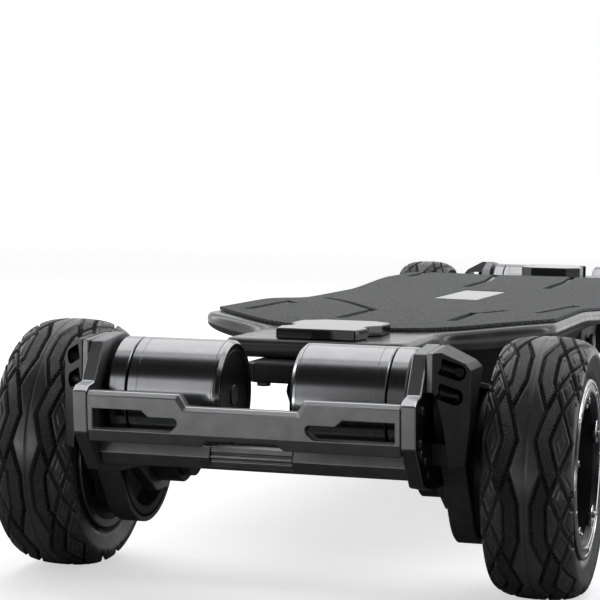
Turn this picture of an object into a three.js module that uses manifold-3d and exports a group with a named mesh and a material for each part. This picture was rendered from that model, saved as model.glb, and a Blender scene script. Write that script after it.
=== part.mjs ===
// An electric mountainboard with four belt-driven wheels, in millimetres, +Z up and +Y forward.
// The origin lies on the floor under the middle of the board, and both trucks are the same part.
import * as THREE from 'three';
import * as BufferGeometryUtils from 'three/addons/utils/BufferGeometryUtils.js';
import Module from 'manifold-3d';

const wasm = await Module();
wasm.setup();

// Fits and cuts
const clearance = 0.3;
const overrun = 2;

// Overall layout
const wheelbase = 975;
const halfTrack = 147;

// Tyre and rim
const tyreRadius = 76;
const tyreWidth = 58;
const tyreWall = 6;
const tyreOutsideShares = [[1, 0.35], [0.92, 0.74], [0.62, 0.94], [0.28, 1]];
const tyreInsideShare = 0.5;
const rimSeatRadius = 45.5;
const rimLipRadius = 51.5;
const rimLipWidth = 3;
const rimWidth = 56;
const rimBarrelWall = 4;
const spokeCount = 5;
const spokeWidth = 11;
const spokeDepth = 16;
const hubRadius = 17;
const hubRecess = 16;

// Axle and hanger
const axleRadius = 6;
const axleEndInset = 9;
const hangerDepth = 26;
const hangerHeight = 26;
const hangerLift = 2;
const hangerCornerCut = 6;
const hangerBossRadius = 21;
const hangerBossLength = 15;
const hangerCollarRadius = 17;
const hangerCollarLength = 6;

// Steering pivot
const steerTilt = Math.PI / 4;
const pivotForward = 16;
const pivotRise = 25;
const pinRadius = 5;
const pinHeadRadius = 8.5;
const pinHeadLength = 5;
const barrelRadius = 12;
const barrelLength = 16;
const bushingRadius = 10;
const bushingThickness = 5;
const earThickness = 7.5;
const earHalfWidth = 11;
const webRear = 10;
const webFront = 4;
const webTopHalfWidth = 5;

// Baseplate
const baseplateThickness = 12;
const baseplateHalfWidth = 34;
const baseplateStart = -12;
const baseplateEnd = 92;

// Motor
const motorBack = 69.5;
const motorRise = 41;
const canRadius = 31.5;
const canWall = 3;
const canInnerEnd = 20.5;
const canEndCap = 5;
const canBevel = 2;
const canGap = 0.8;
const flangeLength = 10.4;
const spacerLength = 3;
const spacerRadius = 26;
const airGap = 0.6;
const shaftRadius = 5;
const shaftStub = 2.5;
const shaftStubRadius = 4;

// Belt drive
const beltWidth = 14;
const beltThickness = 3.2;
const beltSeat = 0.45;
const toothPitch = 2;
const wheelPulleyTeeth = 135;
const motorPulleyTeeth = 36;
const wheelPulleyRadius = (wheelPulleyTeeth * toothPitch) / (2 * Math.PI);
const motorPulleyRadius = (motorPulleyTeeth * toothPitch) / (2 * Math.PI);
const pulleyFlangeRadius = 14.2;
const pulleyFlangeWidth = 1.4;
const pulleyRunGap = 0.6;
const pulleyToothBand = 6.3;
const pulleyRimWall = 6;
const pulleyWebWidth = 6;
const pulleyHubRadius = 15;

// Motor mount plate and belt cover
const plateThickness = 8;
const plateTopMargin = 2;
const plateFoot = 26.5;
const plateRearShares = [
  [0.535, 1], [0.79, 0.963], [0.897, 0.671], [0.97, 0.651], [1, 0.614], [0.981, 0.299],
  [0.813, -0.012], [0.619, -0.075], [0.325, -0.1],
];
const plateFrontShares = [[0.255, 0.67], [0.36, 0.91]];
const shaftHoleRadius = 9;
const coverWidth = 26.5;
const coverTopShoulder = 4.5;
const coverOuterWall = 4;
const coverRearWall = 14;
const coverTopWall = 11;
const coverFoot = 9.7;
const coverSideShares = [
  [0.644, 1], [1, 0.97], [1.003, 0.664], [1, 0.275], [0.955, 0.13], [0.72, 0.13],
  [0.485, 0.49], [0.455, 0.741], [0.555, 0.879],
];
const coverTyreGap = 3;
const pocketWidth = 14;
const pocketHeight = 8.5;
const pocketDepth = 10;
const pocketTilt = 0.35;
const pocketRises = [62, 49.5];
const pocketSide = 13.5;

// Guard bar and skid bar
const guardGap = 10.7;
const guardThickness = 8.4;
const guardLean = 0.1;
const guardTop = 43.5;
const guardMiddleTop = 36.9;
const guardBend = 24;
const guardBottom = 17.6;
const guardNotchBottom = 21;
const guardNotchHalfWidth = 19.6;
const guardRaisedFrom = 35.6;
const guardStep = 4;
const slotTop = 36.2;
const slotStep = 32.6;
const slotMiddle = 29.7;
const slotBottom = 24.8;
const slotInner = 36.4;
const slotJog = 53.2;
const slotOuterMargin = 3;
const guardBottomBend = 3;
const skidInset = 21;
const skidMotorGap = 2;
const skidTop = 15.7;
const skidEdge = 9.7;
const skidBottom = 2.6;
const skidEdgeCut = 2;
const skidRecessHalfWidth = 24;
const skidRecessDepth = 3.5;

// Deck
const deckHalfWidth = 122;
const neckHalfWidth = 58;
const neckEndFromAxle = 16;
const neckTop = 66;
const neckThickness = 11;
const deckTop = 67.8;
const deckConcave = 3.2;
const deckCrown = 2.2;
const deckEdgeLift = 6;
const deckRailRound = 4;
const neckLength = 84;
const flareLength = 78;
const rampLength = 60;
const concaveLength = 270;
const crownFadeShare = 0.744;
const flareShares = [0.2, 0.4, 0.6, 0.8, 1];
const crownShares = [0, 0.25, 0.5, 0.75, 1];

// Grip sheet, cover plates and window
const gripThickness = 2;
const gripSeat = 0.4;
const gripInset = 3;
const gripRearCurve = 88;
const coverPlateHalfWidth = 31;
const coverPlateLength = 84;
const coverPlateThickness = 7;
const frontCoverThickness = 11;
const coverPlateBevel = 3;
const coverPlateFromEnd = 2;
const windowHalfWidth = 18.5;
const windowLength = 139;
const windowSlant = 8;

// Battery enclosure and what it holds
const enclosureFloorShare = 0.8;
const enclosureDepth = 38;
const enclosureWall = 3;
const enclosureEndSlope = 22;
const batteryLength = 320;
const batteryWidth = 150;
const batteryHeight = 26;
const controllerLength = 110;
const controllerWidth = 130;
const controllerHeight = 20;
const packGap = 24;
const packSideGap = 5.2;
const packSpacing = 2;
const enclosureHalfLength = enclosureEndSlope + packGap + (batteryLength + packSpacing + controllerLength) / 2;
const enclosureHalfWidth = (batteryWidth / 2 + packSideGap + enclosureWall) / enclosureFloorShare;
const buttonRadius = 8;
const buttonHeadLength = 4;
const buttonStemRadius = 5;
const buttonTravel = 1.5;
const portRadius = 9;
const portFlangeRadius = 12;
const portFlangeThickness = 2;
const portDepth = 14;
const portSocketRadius = 6;
const capThickness = 4;
const capHingeRadius = 2.5;
const controlsSpacing = 60;

// Facets
const wheelFacets = 28;
const motorFacets = 20;
const smallFacets = 12;
const wheelArcSteps = 18;
const motorArcSteps = 8;
const deckAcross = 8;
const gripEdgePoints = 10;

// Turns a three.js geometry into a closed, outward-facing solid.
function solidOf(geometry) {
  const bare = geometry.clone();
  bare.deleteAttribute('normal');
  bare.deleteAttribute('uv');
  const merged = BufferGeometryUtils.mergeVertices(bare, 1e-4);
  const position = merged.attributes.position.array;
  const index = merged.index.array;
  const triangles = [];
  let volume = 0;
  for (let i = 0; i < index.length; i += 3) {
    const [a, b, c] = [index[i], index[i + 1], index[i + 2]];
    if (a === b || b === c || c === a) continue;
    triangles.push(a, b, c);
    const [p, q, r] = [a, b, c].map((k) => new THREE.Vector3().fromArray(position, 3 * k));
    volume += p.dot(q.cross(r));
  }
  if (volume < 0) {
    for (let i = 0; i < triangles.length; i += 3) {
      [triangles[i], triangles[i + 1]] = [triangles[i + 1], triangles[i]];
    }
  }
  return new wasm.Manifold(new wasm.Mesh({
    numProp: 3,
    vertProperties: new Float32Array(position),
    triVerts: new Uint32Array(triangles),
  }));
}

function geometryOf(solid) {
  const mesh = solid.getMesh();
  const geometry = new THREE.BufferGeometry();
  geometry.setAttribute('position', new THREE.BufferAttribute(new Float32Array(mesh.vertProperties), 3));
  geometry.setIndex([...mesh.triVerts]);
  return geometry;
}

function joined(...solids) {
  return solids.reduce((whole, next) => whole.add(next));
}

function cut(solid, ...tools) {
  return tools.reduce((rest, tool) => rest.subtract(tool), solid);
}

// Mirrors a solid across the board's middle plane.
function mirrored(solid) {
  const geometry = geometryOf(solid);
  geometry.scale(-1, 1, 1);
  return solidOf(geometry);
}

function shapeOf(points, holes = []) {
  const shape = new THREE.Shape(points.map(([a, b]) => new THREE.Vector2(a, b)));
  for (const hole of holes) {
    shape.holes.push(new THREE.Path(hole.map(([a, b]) => new THREE.Vector2(a, b))));
  }
  return shape;
}

function circlePoints(y, z, radius, facets) {
  return Array.from({ length: facets }, (_, i) => {
    const angle = (2 * Math.PI * i) / facets;
    return [y + radius * Math.cos(angle), z + radius * Math.sin(angle)];
  });
}

// An outline in (y, z), extruded along X from one side to the other.
function plateAlongX(points, from, to, holes = []) {
  const geometry = new THREE.ExtrudeGeometry(shapeOf(points, holes), { depth: to - from, bevelEnabled: false });
  geometry.applyMatrix4(new THREE.Matrix4().makeBasis(
    new THREE.Vector3(0, 1, 0), new THREE.Vector3(0, 0, 1), new THREE.Vector3(1, 0, 0)));
  geometry.translate(from, 0, 0);
  return solidOf(geometry);
}

// An outline in (x, z), extruded along Y.
function plateAlongY(points, from, to, holes = []) {
  const geometry = new THREE.ExtrudeGeometry(shapeOf(points, holes), { depth: to - from, bevelEnabled: false });
  geometry.applyMatrix4(new THREE.Matrix4().makeBasis(
    new THREE.Vector3(1, 0, 0), new THREE.Vector3(0, 0, 1), new THREE.Vector3(0, -1, 0)));
  geometry.translate(0, to, 0);
  return solidOf(geometry);
}

// A profile of [x, radius] points that closes on itself, turned about the X axis.
function turned(profile, facets, y = 0, z = 0) {
  const closed = [...profile, profile[0]];
  const geometry = new THREE.LatheGeometry(closed.map(([x, radius]) => new THREE.Vector2(radius, x)), facets);
  geometry.rotateZ(-Math.PI / 2);
  geometry.translate(0, y, z);
  return solidOf(geometry);
}

function rodAlongX(from, to, radius, y, z, facets) {
  const geometry = new THREE.CylinderGeometry(radius, radius, to - from, facets);
  geometry.rotateZ(Math.PI / 2);
  geometry.translate((from + to) / 2, y, z);
  return solidOf(geometry);
}

function block(x0, x1, y0, y1, z0, z1) {
  const geometry = new THREE.BoxGeometry(x1 - x0, y1 - y0, z1 - z0);
  geometry.translate((x0 + x1) / 2, (y0 + y1) / 2, (z0 + z1) / 2);
  return solidOf(geometry);
}

function finish(colour, roughness, metalness) {
  return new THREE.MeshStandardMaterial({ color: colour, roughness, metalness });
}

function piece(name, solid, material) {
  const mesh = new THREE.Mesh(geometryOf(solid), material);
  mesh.name = name;
  return mesh;
}

const anodised = () => finish(0x2b2c2e, 0.45, 0.9);
const blackMetal = () => finish(0x161719, 0.5, 0.8);
const motorMetal = () => finish(0x3a3b3d, 0.28, 1);
const steel = () => finish(0x9a9b9d, 0.35, 1);
const rubber = () => finish(0x141415, 0.8, 0);
const plastic = () => finish(0x1a1b1c, 0.55, 0);
const carbon = () => finish(0x1d1e20, 0.3, 0.1);
const gritty = () => finish(0x2a2b2c, 0.95, 0);
const glossy = () => finish(0x0c0d0e, 0.1, 0.2);

// Places along X, from the middle of a truck outwards
const rimInner = halfTrack - rimWidth / 2;
const pulleyOuter = rimInner - clearance;
const pulleyInner = pulleyOuter - pulleyToothBand - beltWidth - pulleyRunGap;
const plateOuter = pulleyInner - pulleyRunGap;
const plateInner = plateOuter - plateThickness;
const hangerEnd = plateInner - clearance;
const flangeOuter = hangerEnd - spacerLength;
const flangeInner = flangeOuter - flangeLength;
const canOuterEnd = flangeInner - canGap;
const beltInner = pulleyInner;
const beltOuter = beltInner + beltWidth;
const coverInner = plateOuter + clearance;
const coverOuter = coverInner + coverWidth;

// Places behind the axle, and heights above it
const canBack = motorBack + canRadius;
const guardFront = canBack + guardGap;
const plateReach = guardFront + guardThickness + guardLean * guardTop + clearance;
const plateTop = motorRise + canRadius + plateTopMargin;
const skidReach = plateReach - skidInset;
const skidFront = motorBack + Math.sqrt((canRadius + skidMotorGap) ** 2 - (motorRise - skidTop) ** 2);
const beltWheelRadius = wheelPulleyRadius + beltSeat;
const beltMotorRadius = motorPulleyRadius + beltSeat;

function buildTyre() {
  const side = tyreWidth / 2;
  const seat = rimSeatRadius + clearance;
  const beadOut = rimWidth / 2 - rimLipWidth * 2 - clearance * 2;
  const lipClear = rimWidth / 2 - rimLipWidth - clearance * 2;
  const lipTop = rimLipRadius + clearance * 2;
  const wallRise = tyreRadius - lipTop;
  const half = [
    [beadOut, seat],
    [lipClear, lipTop],
    ...tyreOutsideShares.map(([across, up]) => [side * across, lipTop + wallRise * up]),
  ];
  const inner = [
    [side * tyreInsideShare, tyreRadius - tyreWall],
    [beadOut - tyreWall, seat],
  ];
  const flip = (points) => [...points].reverse().map(([x, radius]) => [-x, radius]);
  const loop = [...half, ...flip(half), ...flip(inner), ...inner];
  return turned(loop.map(([x, radius]) => [x + halfTrack, radius]), wheelFacets);
}

function buildRim() {
  const side = rimWidth / 2;
  const bore = axleRadius + clearance;
  const barrel = rimSeatRadius - rimBarrelWall;
  const band = turned([
    [halfTrack - side, barrel],
    [halfTrack - side, rimLipRadius],
    [halfTrack - side + rimLipWidth, rimLipRadius],
    [halfTrack - side + 2 * rimLipWidth, rimSeatRadius],
    [halfTrack + side - 2 * rimLipWidth, rimSeatRadius],
    [halfTrack + side - rimLipWidth, rimLipRadius],
    [halfTrack + side, rimLipRadius],
    [halfTrack + side, barrel],
  ], wheelFacets);
  const hub = rodAlongX(halfTrack - side, halfTrack + side - hubRecess, hubRadius, 0, 0, motorFacets);
  let rim = joined(band, hub);
  for (let i = 0; i < spokeCount; i += 1) {
    const spoke = new THREE.BoxGeometry(spokeDepth, spokeWidth, barrel + rimBarrelWall / 2);
    spoke.translate(halfTrack + side - hubRecess - spokeDepth / 2, 0, (barrel + rimBarrelWall / 2) / 2);
    spoke.rotateX((2 * Math.PI * i) / spokeCount);
    rim = rim.add(solidOf(spoke));
  }
  return cut(rim, rodAlongX(halfTrack - tyreWidth, halfTrack + tyreWidth, bore, 0, 0, smallFacets));
}

function buildWheelPulley() {
  const bore = axleRadius + clearance;
  const inside = wheelPulleyRadius - pulleyRimWall;
  const web = pulleyOuter - pulleyWebWidth;
  return turned([
    [pulleyInner, bore], [pulleyInner, pulleyHubRadius], [web, pulleyHubRadius], [web, inside],
    [pulleyInner, inside], [pulleyInner, wheelPulleyRadius], [pulleyOuter, wheelPulleyRadius],
    [pulleyOuter, bore],
  ], wheelFacets);
}

// The loop that a belt's face of the given radii makes round the wheel pulley and the motor pulley.
function beltLoop(wheelRadius, motorRadius) {
  const span = Math.hypot(motorBack, motorRise);
  const heading = Math.atan2(motorRise, -motorBack);
  const lean = Math.acos((wheelRadius - motorRadius) / span);
  const arc = (y, z, radius, start, sweep, steps) => Array.from({ length: steps + 1 }, (_, i) => {
    const angle = start + (sweep * i) / steps;
    return [y + radius * Math.cos(angle), z + radius * Math.sin(angle)];
  });
  return [
    ...arc(0, 0, wheelRadius, heading + lean, 2 * (Math.PI - lean), wheelArcSteps),
    ...arc(-motorBack, motorRise, motorRadius, heading - lean, 2 * lean, motorArcSteps),
  ];
}

function buildBelt() {
  const outside = beltLoop(beltWheelRadius + beltThickness, beltMotorRadius + beltThickness);
  const inside = beltLoop(beltWheelRadius, beltMotorRadius);
  return plateAlongX(outside, beltInner, beltOuter, [inside]);
}

function buildRotor() {
  const inside = canRadius - canWall;
  return turned([
    [canInnerEnd - shaftStub, 0], [canInnerEnd - shaftStub, shaftStubRadius],
    [canInnerEnd, shaftStubRadius], [canInnerEnd, canRadius - canBevel],
    [canInnerEnd + canBevel, canRadius], [canOuterEnd, canRadius],
    [canOuterEnd, inside], [canInnerEnd + canEndCap, inside],
    [canInnerEnd + canEndCap, shaftRadius], [pulleyInner, shaftRadius],
    [pulleyInner, motorPulleyRadius], [beltOuter + pulleyRunGap, motorPulleyRadius],
    [beltOuter + pulleyRunGap, pulleyFlangeRadius],
    [beltOuter + pulleyRunGap + pulleyFlangeWidth, pulleyFlangeRadius],
    [beltOuter + pulleyRunGap + pulleyFlangeWidth, 0],
  ], motorFacets, -motorBack, motorRise);
}

function buildStator() {
  const bore = shaftRadius + clearance;
  const core = canRadius - canWall - airGap;
  return turned([
    [canInnerEnd + canEndCap + canGap, bore], [canInnerEnd + canEndCap + canGap, core],
    [flangeInner, core], [flangeInner, canRadius], [flangeOuter, canRadius],
    [flangeOuter, spacerRadius], [hangerEnd, spacerRadius], [hangerEnd, bore],
  ], motorFacets, -motorBack, motorRise);
}

// The mount plate's outline: the part behind the motor carries the bars, and the foot holds the hanger.
function buildMountPlate() {
  const placed = ([back, up]) => [-back * plateReach, up * plateTop];
  const outline = [
    ...plateRearShares.map(placed),
    [-plateFoot / 3, -plateFoot],
    [plateFoot / 3, -plateFoot],
    [plateFoot, -plateFoot / 2],
    [plateFoot, plateFoot / 2],
    [plateFoot / 2, plateFoot],
    ...plateFrontShares.map(placed),
  ];
  return plateAlongX(outline, plateInner, plateOuter, [
    circlePoints(0, 0, axleRadius + clearance, smallFacets),
    circlePoints(-motorBack, motorRise, shaftHoleRadius, smallFacets),
  ]);
}

function buildBeltCover() {
  const rear = canBack;
  const side = coverSideShares.map(([behind, up]) => [-behind * rear, up * plateTop]);
  const back = [
    [coverInner, plateTop + overrun], [coverInner + coverTopShoulder, plateTop + overrun],
    [coverInner + coverTopShoulder, plateTop - clearance],
    [coverOuter - coverTopShoulder / 2, plateTop - coverTopShoulder * 2],
    [coverOuter, plateTop - coverTopShoulder * 3], [coverOuter, motorRise],
    [coverOuter - coverTopShoulder, coverFoot - clearance], [coverInner, coverFoot - clearance],
  ];
  const outer = plateAlongX(side, coverInner, coverOuter)
    .intersect(plateAlongY(back, -rear - overrun, 0));
  const hollow = plateAlongX([
    [-rear + coverRearWall, plateTop - coverTopWall], [-rear + coverRearWall, motorRise / 2 + overrun],
    [-motorBack / 2 - beltThickness * 2, -coverFoot], [0, -coverFoot], [0, plateTop - coverTopWall],
  ], coverInner - overrun, coverOuter - coverOuterWall - pulleyFlangeWidth * 2);
  const tyreRoom = rodAlongX(
    halfTrack - tyreWidth / 2 - coverTyreGap, halfTrack, tyreRadius + coverTyreGap, 0, 0, wheelFacets);
  const pockets = pocketRises.map((rise) => {
    const pocket = new THREE.BoxGeometry(pocketWidth, pocketDepth * 2, pocketHeight);
    pocket.rotateY(pocketTilt);
    pocket.translate(coverInner + pocketSide, -rear, rise);
    return solidOf(pocket);
  });
  return cut(outer, hollow, tyreRoom, ...pockets);
}

// The bar behind the motors leans with the plates' rear edge and is bent under at its lower edge.
function buildGuardBar() {
  const end = hangerEnd;
  const half = [
    [end, guardTop], [guardRaisedFrom, guardTop], [guardRaisedFrom - guardStep, guardMiddleTop],
  ];
  const under = [[guardNotchHalfWidth, guardNotchBottom], [guardNotchHalfWidth + guardStep, guardBottom],
    [end, guardBottom]];
  const flip = (points) => [...points].reverse().map(([x, z]) => [-x, z]);
  const outline = [...half, ...flip(half), ...flip(under), ...under];
  const slot = [
    [end - slotOuterMargin, slotBottom], [slotInner + guardStep, slotBottom], [slotInner, slotMiddle],
    [slotInner + guardStep / 2, slotStep], [slotJog, slotStep], [slotJog + guardStep, slotTop],
    [end - slotOuterMargin, slotTop],
  ];
  const reach = guardFront + guardThickness + guardTop * guardLean + overrun;
  const face = plateAlongY(outline, -reach, -guardFront + overrun, [slot, flip(slot)]);
  const backAt = (z) => -guardFront - guardLean * z;
  const side = plateAlongX([
    [backAt(guardTop), guardTop + overrun], [backAt(guardTop) - guardThickness + guardBottomBend, guardTop + overrun],
    [backAt(guardTop) - guardThickness, guardTop - guardBottomBend],
    [backAt(guardBend) - guardThickness, guardBend],
    [backAt(guardBottom) - guardThickness + guardBottomBend, guardBottom - overrun],
    [backAt(guardBottom), guardBottom - overrun],
  ], -end, end);
  return face.intersect(side);
}

function buildSkidBar() {
  const bar = plateAlongX([
    [-skidReach + skidEdgeCut, skidTop], [-skidReach, skidEdge], [-skidReach + skidEdgeCut * 2, skidBottom],
    [-skidFront, skidBottom], [-skidFront, skidTop - skidEdgeCut], [-skidFront - skidEdgeCut, skidTop],
  ], -hangerEnd, hangerEnd);
  const recess = block(-skidRecessHalfWidth, skidRecessHalfWidth, -skidReach - overrun,
    -skidReach + skidRecessDepth, skidBottom + skidEdgeCut, skidTop + overrun);
  return cut(bar, recess);
}

// Turns a solid drawn along Z so that it lies on the tilted steering pin.
function onSteerAxis(geometry) {
  geometry.rotateX(steerTilt);
  geometry.translate(0, pivotForward, pivotRise);
  return solidOf(geometry);
}

function steerRod(from, to, radius, facets) {
  const geometry = new THREE.CylinderGeometry(radius, radius, to - from, facets);
  geometry.rotateX(Math.PI / 2);
  geometry.translate(0, 0, (from + to) / 2);
  return onSteerAxis(geometry);
}

const bushingStart = barrelLength / 2 + clearance;
const earStart = bushingStart + bushingThickness + clearance;
const pinReach = earStart + earThickness + clearance;

function pinHole() {
  return steerRod(-pinReach - overrun, pinReach + overrun, pinRadius + clearance, smallFacets);
}

function buildHanger() {
  const [deep, tall, chamfer] = [hangerDepth / 2, hangerHeight / 2, hangerCornerCut];
  const beam = plateAlongX([
    [deep, tall - chamfer + hangerLift], [deep - chamfer, tall + hangerLift],
    [-deep + chamfer, tall + hangerLift], [-deep, tall - chamfer + hangerLift],
    [-deep, -tall + chamfer + hangerLift], [-deep + chamfer, -tall + hangerLift],
    [deep - chamfer, -tall + hangerLift], [deep, -tall + chamfer + hangerLift],
  ], -hangerEnd, hangerEnd);
  const bossStart = hangerEnd - hangerBossLength;
  const boss = joined(
    rodAlongX(bossStart, hangerEnd, hangerBossRadius, 0, 0, motorFacets),
    rodAlongX(bossStart - hangerCollarLength, bossStart, hangerCollarRadius, 0, 0, motorFacets));
  const barrel = steerRod(-barrelLength / 2, barrelLength / 2, barrelRadius, motorFacets);
  const web = plateAlongX([
    [-webRear, 0], [webFront, 0], [pivotForward + webTopHalfWidth, pivotRise - webTopHalfWidth],
    [pivotForward - webTopHalfWidth, pivotRise + webTopHalfWidth],
  ], -earHalfWidth, earHalfWidth);
  const body = joined(beam, boss, mirrored(boss), web, barrel);
  return cut(body,
    rodAlongX(-hangerEnd - overrun, hangerEnd + overrun, axleRadius + clearance, 0, 0, smallFacets),
    pinHole());
}

const deckSoffit = neckTop - neckThickness;
const baseplateTop = deckSoffit - clearance;

function buildBaseplate() {
  const plate = block(-baseplateHalfWidth, baseplateHalfWidth, baseplateStart, baseplateEnd,
    baseplateTop - baseplateThickness, baseplateTop);
  const ear = (from, to, rise) => {
    const geometry = new THREE.BoxGeometry(earHalfWidth * 2, rise + barrelRadius, to - from);
    geometry.translate(0, (rise - barrelRadius) / 2, (from + to) / 2);
    return onSteerAxis(geometry);
  };
  const highRise = (baseplateTop - clearance - pivotRise) * Math.SQRT2 - earStart - earThickness;
  const lowRise = (baseplateTop - clearance - pivotRise) * Math.SQRT2 + earStart;
  const high = ear(earStart, earStart + earThickness, highRise);
  const low = ear(-earStart - earThickness, -earStart, lowRise);
  return cut(joined(plate, high, low), pinHole());
}

function buildKingpin() {
  return joined(
    steerRod(-pinReach - pinHeadLength, pinReach, pinRadius, smallFacets),
    steerRod(-pinReach - pinHeadLength, -pinReach, pinHeadRadius, smallFacets));
}

function buildBushing(start) {
  return cut(steerRod(start, start + bushingThickness, bushingRadius, motorFacets), pinHole());
}

function buildAxle() {
  const end = halfTrack + tyreWidth / 2 - axleEndInset;
  return rodAlongX(-end, end, axleRadius, 0, 0, smallFacets);
}

// One truck with its drive. Its +Y points to the middle of the board. Turned half round it is the front one.
const sides = { right: (solid) => solid, left: mirrored };
const pairedPieces = [
  ['tyre', buildTyre(), rubber],
  ['rim', buildRim(), blackMetal],
  ['wheel_pulley', buildWheelPulley(), blackMetal],
  ['drive_belt', buildBelt(), rubber],
  ['motor_rotor', buildRotor(), motorMetal],
  ['motor_stator', buildStator(), blackMetal],
  ['motor_mount', buildMountPlate(), anodised],
  ['belt_cover', buildBeltCover(), blackMetal],
];
const singlePieces = [
  ['hanger', buildHanger(), blackMetal],
  ['axle', buildAxle(), steel],
  ['baseplate', buildBaseplate(), blackMetal],
  ['kingpin', buildKingpin(), steel],
  ['bushing_upper', buildBushing(bushingStart), rubber],
  ['bushing_lower', buildBushing(-bushingStart - bushingThickness), rubber],
  ['guard_bar', buildGuardBar(), anodised],
  ['skid_bar', buildSkidBar(), anodised],
];

function buildTruck(end) {
  const truck = new THREE.Group();
  for (const [name, solid, material] of singlePieces) {
    truck.add(piece(`${end}_${name}`, solid, material()));
  }
  for (const [name, solid, material] of pairedPieces) {
    for (const [side, placed] of Object.entries(sides)) {
      const worldSide = end === 'rear' ? side : { left: 'right', right: 'left' }[side];
      truck.add(piece(`${end}_${name}_${worldSide}`, placed(solid), material()));
    }
  }
  truck.rotation.z = end === 'rear' ? 0 : Math.PI;
  truck.position.set(0, (end === 'rear' ? -1 : 1) * wheelbase / 2, tyreRadius);
  return truck;
}

// Deck surfaces, as functions of the distance from the deck's end and of the place across it
const deckHalfLength = wheelbase / 2 - neckEndFromAxle;
const crownFade = (deckHalfLength - concaveLength) * crownFadeShare;

function smooth(t) {
  const s = Math.min(Math.max(t, 0), 1);
  return s * s * (3 - 2 * s);
}

function deckHalfWidthAt(fromEnd) {
  return neckHalfWidth + (deckHalfWidth - neckHalfWidth) * smooth((fromEnd - neckLength) / flareLength);
}

function rampAt(fromEnd) {
  return smooth((fromEnd - neckLength - coverPlateFromEnd) / rampLength);
}

function crownAt(fromEnd) {
  return smooth((fromEnd - concaveLength) / crownFade);
}

// The platform's edges stand proud near its ends and fall away along its middle.
function deckTopAt(x, fromEnd) {
  const [ramp, crown] = [rampAt(fromEnd), crownAt(fromEnd)];
  const centre = neckTop + (deckTop - neckTop) * ramp;
  const edge = deckConcave * ramp * (1 - crown) - deckCrown * crown;
  return centre + edge * (x / deckHalfWidth) ** 2;
}

function deckBottomAt(x, fromEnd) {
  return deckSoffit + deckEdgeLift * rampAt(fromEnd) * (1 - crownAt(fromEnd)) * (x / deckHalfWidth) ** 4;
}

const deckStations = [
  0, neckLength / 2, neckLength,
  ...flareShares.map((share) => neckLength + share * flareLength),
  ...crownShares.map((share) => concaveLength + share * crownFade),
];

// Moves a box's points: u and v run from -1 to 1 across and along it, and w is 0 below and 1 above.
function formed(across, alongCount, place) {
  const geometry = new THREE.BoxGeometry(2, 2, 1, across, alongCount, 1);
  const position = geometry.attributes.position;
  for (let i = 0; i < position.count; i += 1) {
    const [x, y, z] = place(position.getX(i), position.getY(i), position.getZ(i) + 1 / 2);
    position.setXYZ(i, x, y, z);
  }
  return solidOf(geometry);
}

function stationAt(v, stations, count) {
  const step = Math.round((1 - Math.abs(v)) * (count / 2));
  return stations[step];
}

function buildDeck() {
  const count = 2 * deckStations.length;
  const stations = [...deckStations, deckHalfLength];
  return formed(deckAcross, count, (u, v, w) => {
    const fromEnd = stationAt(v, stations, count);
    const rail = w > 0 ? 0 : deckRailRound;
    const x = u * (deckHalfWidthAt(fromEnd) - rail);
    const y = Math.sign(v) * (deckHalfLength - fromEnd - (w > 0 ? 0 : (1 - Math.min(fromEnd, 1)) * rail));
    const z = w > 0 ? deckTopAt(x, fromEnd) : deckBottomAt(x, fromEnd);
    return [x, y, tyreRadius + z];
  });
}

// The sheet follows the deck's top: a lifted copy of the deck, cut by another and by the sheet's outline.
function buildGripSheet(deck) {
  const lifted = (height) => {
    const geometry = geometryOf(deck);
    geometry.translate(0, 0, height);
    return solidOf(geometry);
  };
  const start = coverPlateFromEnd + coverPlateLength + gripInset;
  const edge = Array.from({ length: gripEdgePoints + 1 }, (_, i) => {
    const u = 1 - (2 * i) / gripEdgePoints;
    return [u * (deckHalfWidth - gripInset), deckHalfLength - start - gripRearCurve * u * u];
  });
  const outline = new THREE.ExtrudeGeometry(shapeOf([...edge, ...edge.map(([x, y]) => [-x, -y])]), {
    depth: neckThickness * 2, bevelEnabled: false });
  outline.translate(0, 0, tyreRadius + deckTop - neckThickness);
  const sheet = cut(lifted(gripSeat + gripThickness), lifted(gripSeat)).intersect(solidOf(outline));
  return cut(sheet, windowCutter(clearance));
}

function windowOutline(margin) {
  const [w, l] = [windowHalfWidth + margin, windowLength / 2 + margin];
  return [[-w, -l + windowSlant], [w, -l], [w, l - windowSlant], [-w, l]];
}

function windowPrism(margin, from, to) {
  const geometry = new THREE.ExtrudeGeometry(shapeOf(windowOutline(margin)), {
    depth: to - from, bevelEnabled: false });
  geometry.translate(0, 0, from);
  return solidOf(geometry);
}

const deckLevel = tyreRadius + deckTop;

function windowCutter(margin) {
  return windowPrism(margin, deckLevel - overrun, deckLevel + gripThickness + 2 * overrun);
}

function buildWindow() {
  return windowPrism(0, deckLevel + gripSeat, deckLevel + gripSeat + gripThickness - clearance);
}

function buildCoverPlate(end) {
  const [w, l, bevel] = [coverPlateHalfWidth, coverPlateLength, coverPlateBevel];
  const thickness = end === 'front' ? frontCoverThickness : coverPlateThickness;
  const corner = bevel * 2;
  const outline = (inset) => [
    [-w + inset, corner], [-w + corner, inset], [w - corner, inset], [w - inset, corner],
    [w - inset, l - corner], [w - corner, l - inset], [-w + corner, l - inset], [-w + inset, l - corner],
  ];
  const slab = (inset, height) => new THREE.ExtrudeGeometry(shapeOf(outline(inset)), {
    depth: height, bevelEnabled: false });
  const plate = joined(solidOf(slab(0, thickness - bevel)), solidOf(slab(bevel, thickness)));
  const geometry = geometryOf(plate);
  geometry.translate(0, -deckHalfLength + coverPlateFromEnd, tyreRadius + neckTop + clearance);
  if (end === 'front') geometry.rotateZ(Math.PI);
  return solidOf(geometry);
}

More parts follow.
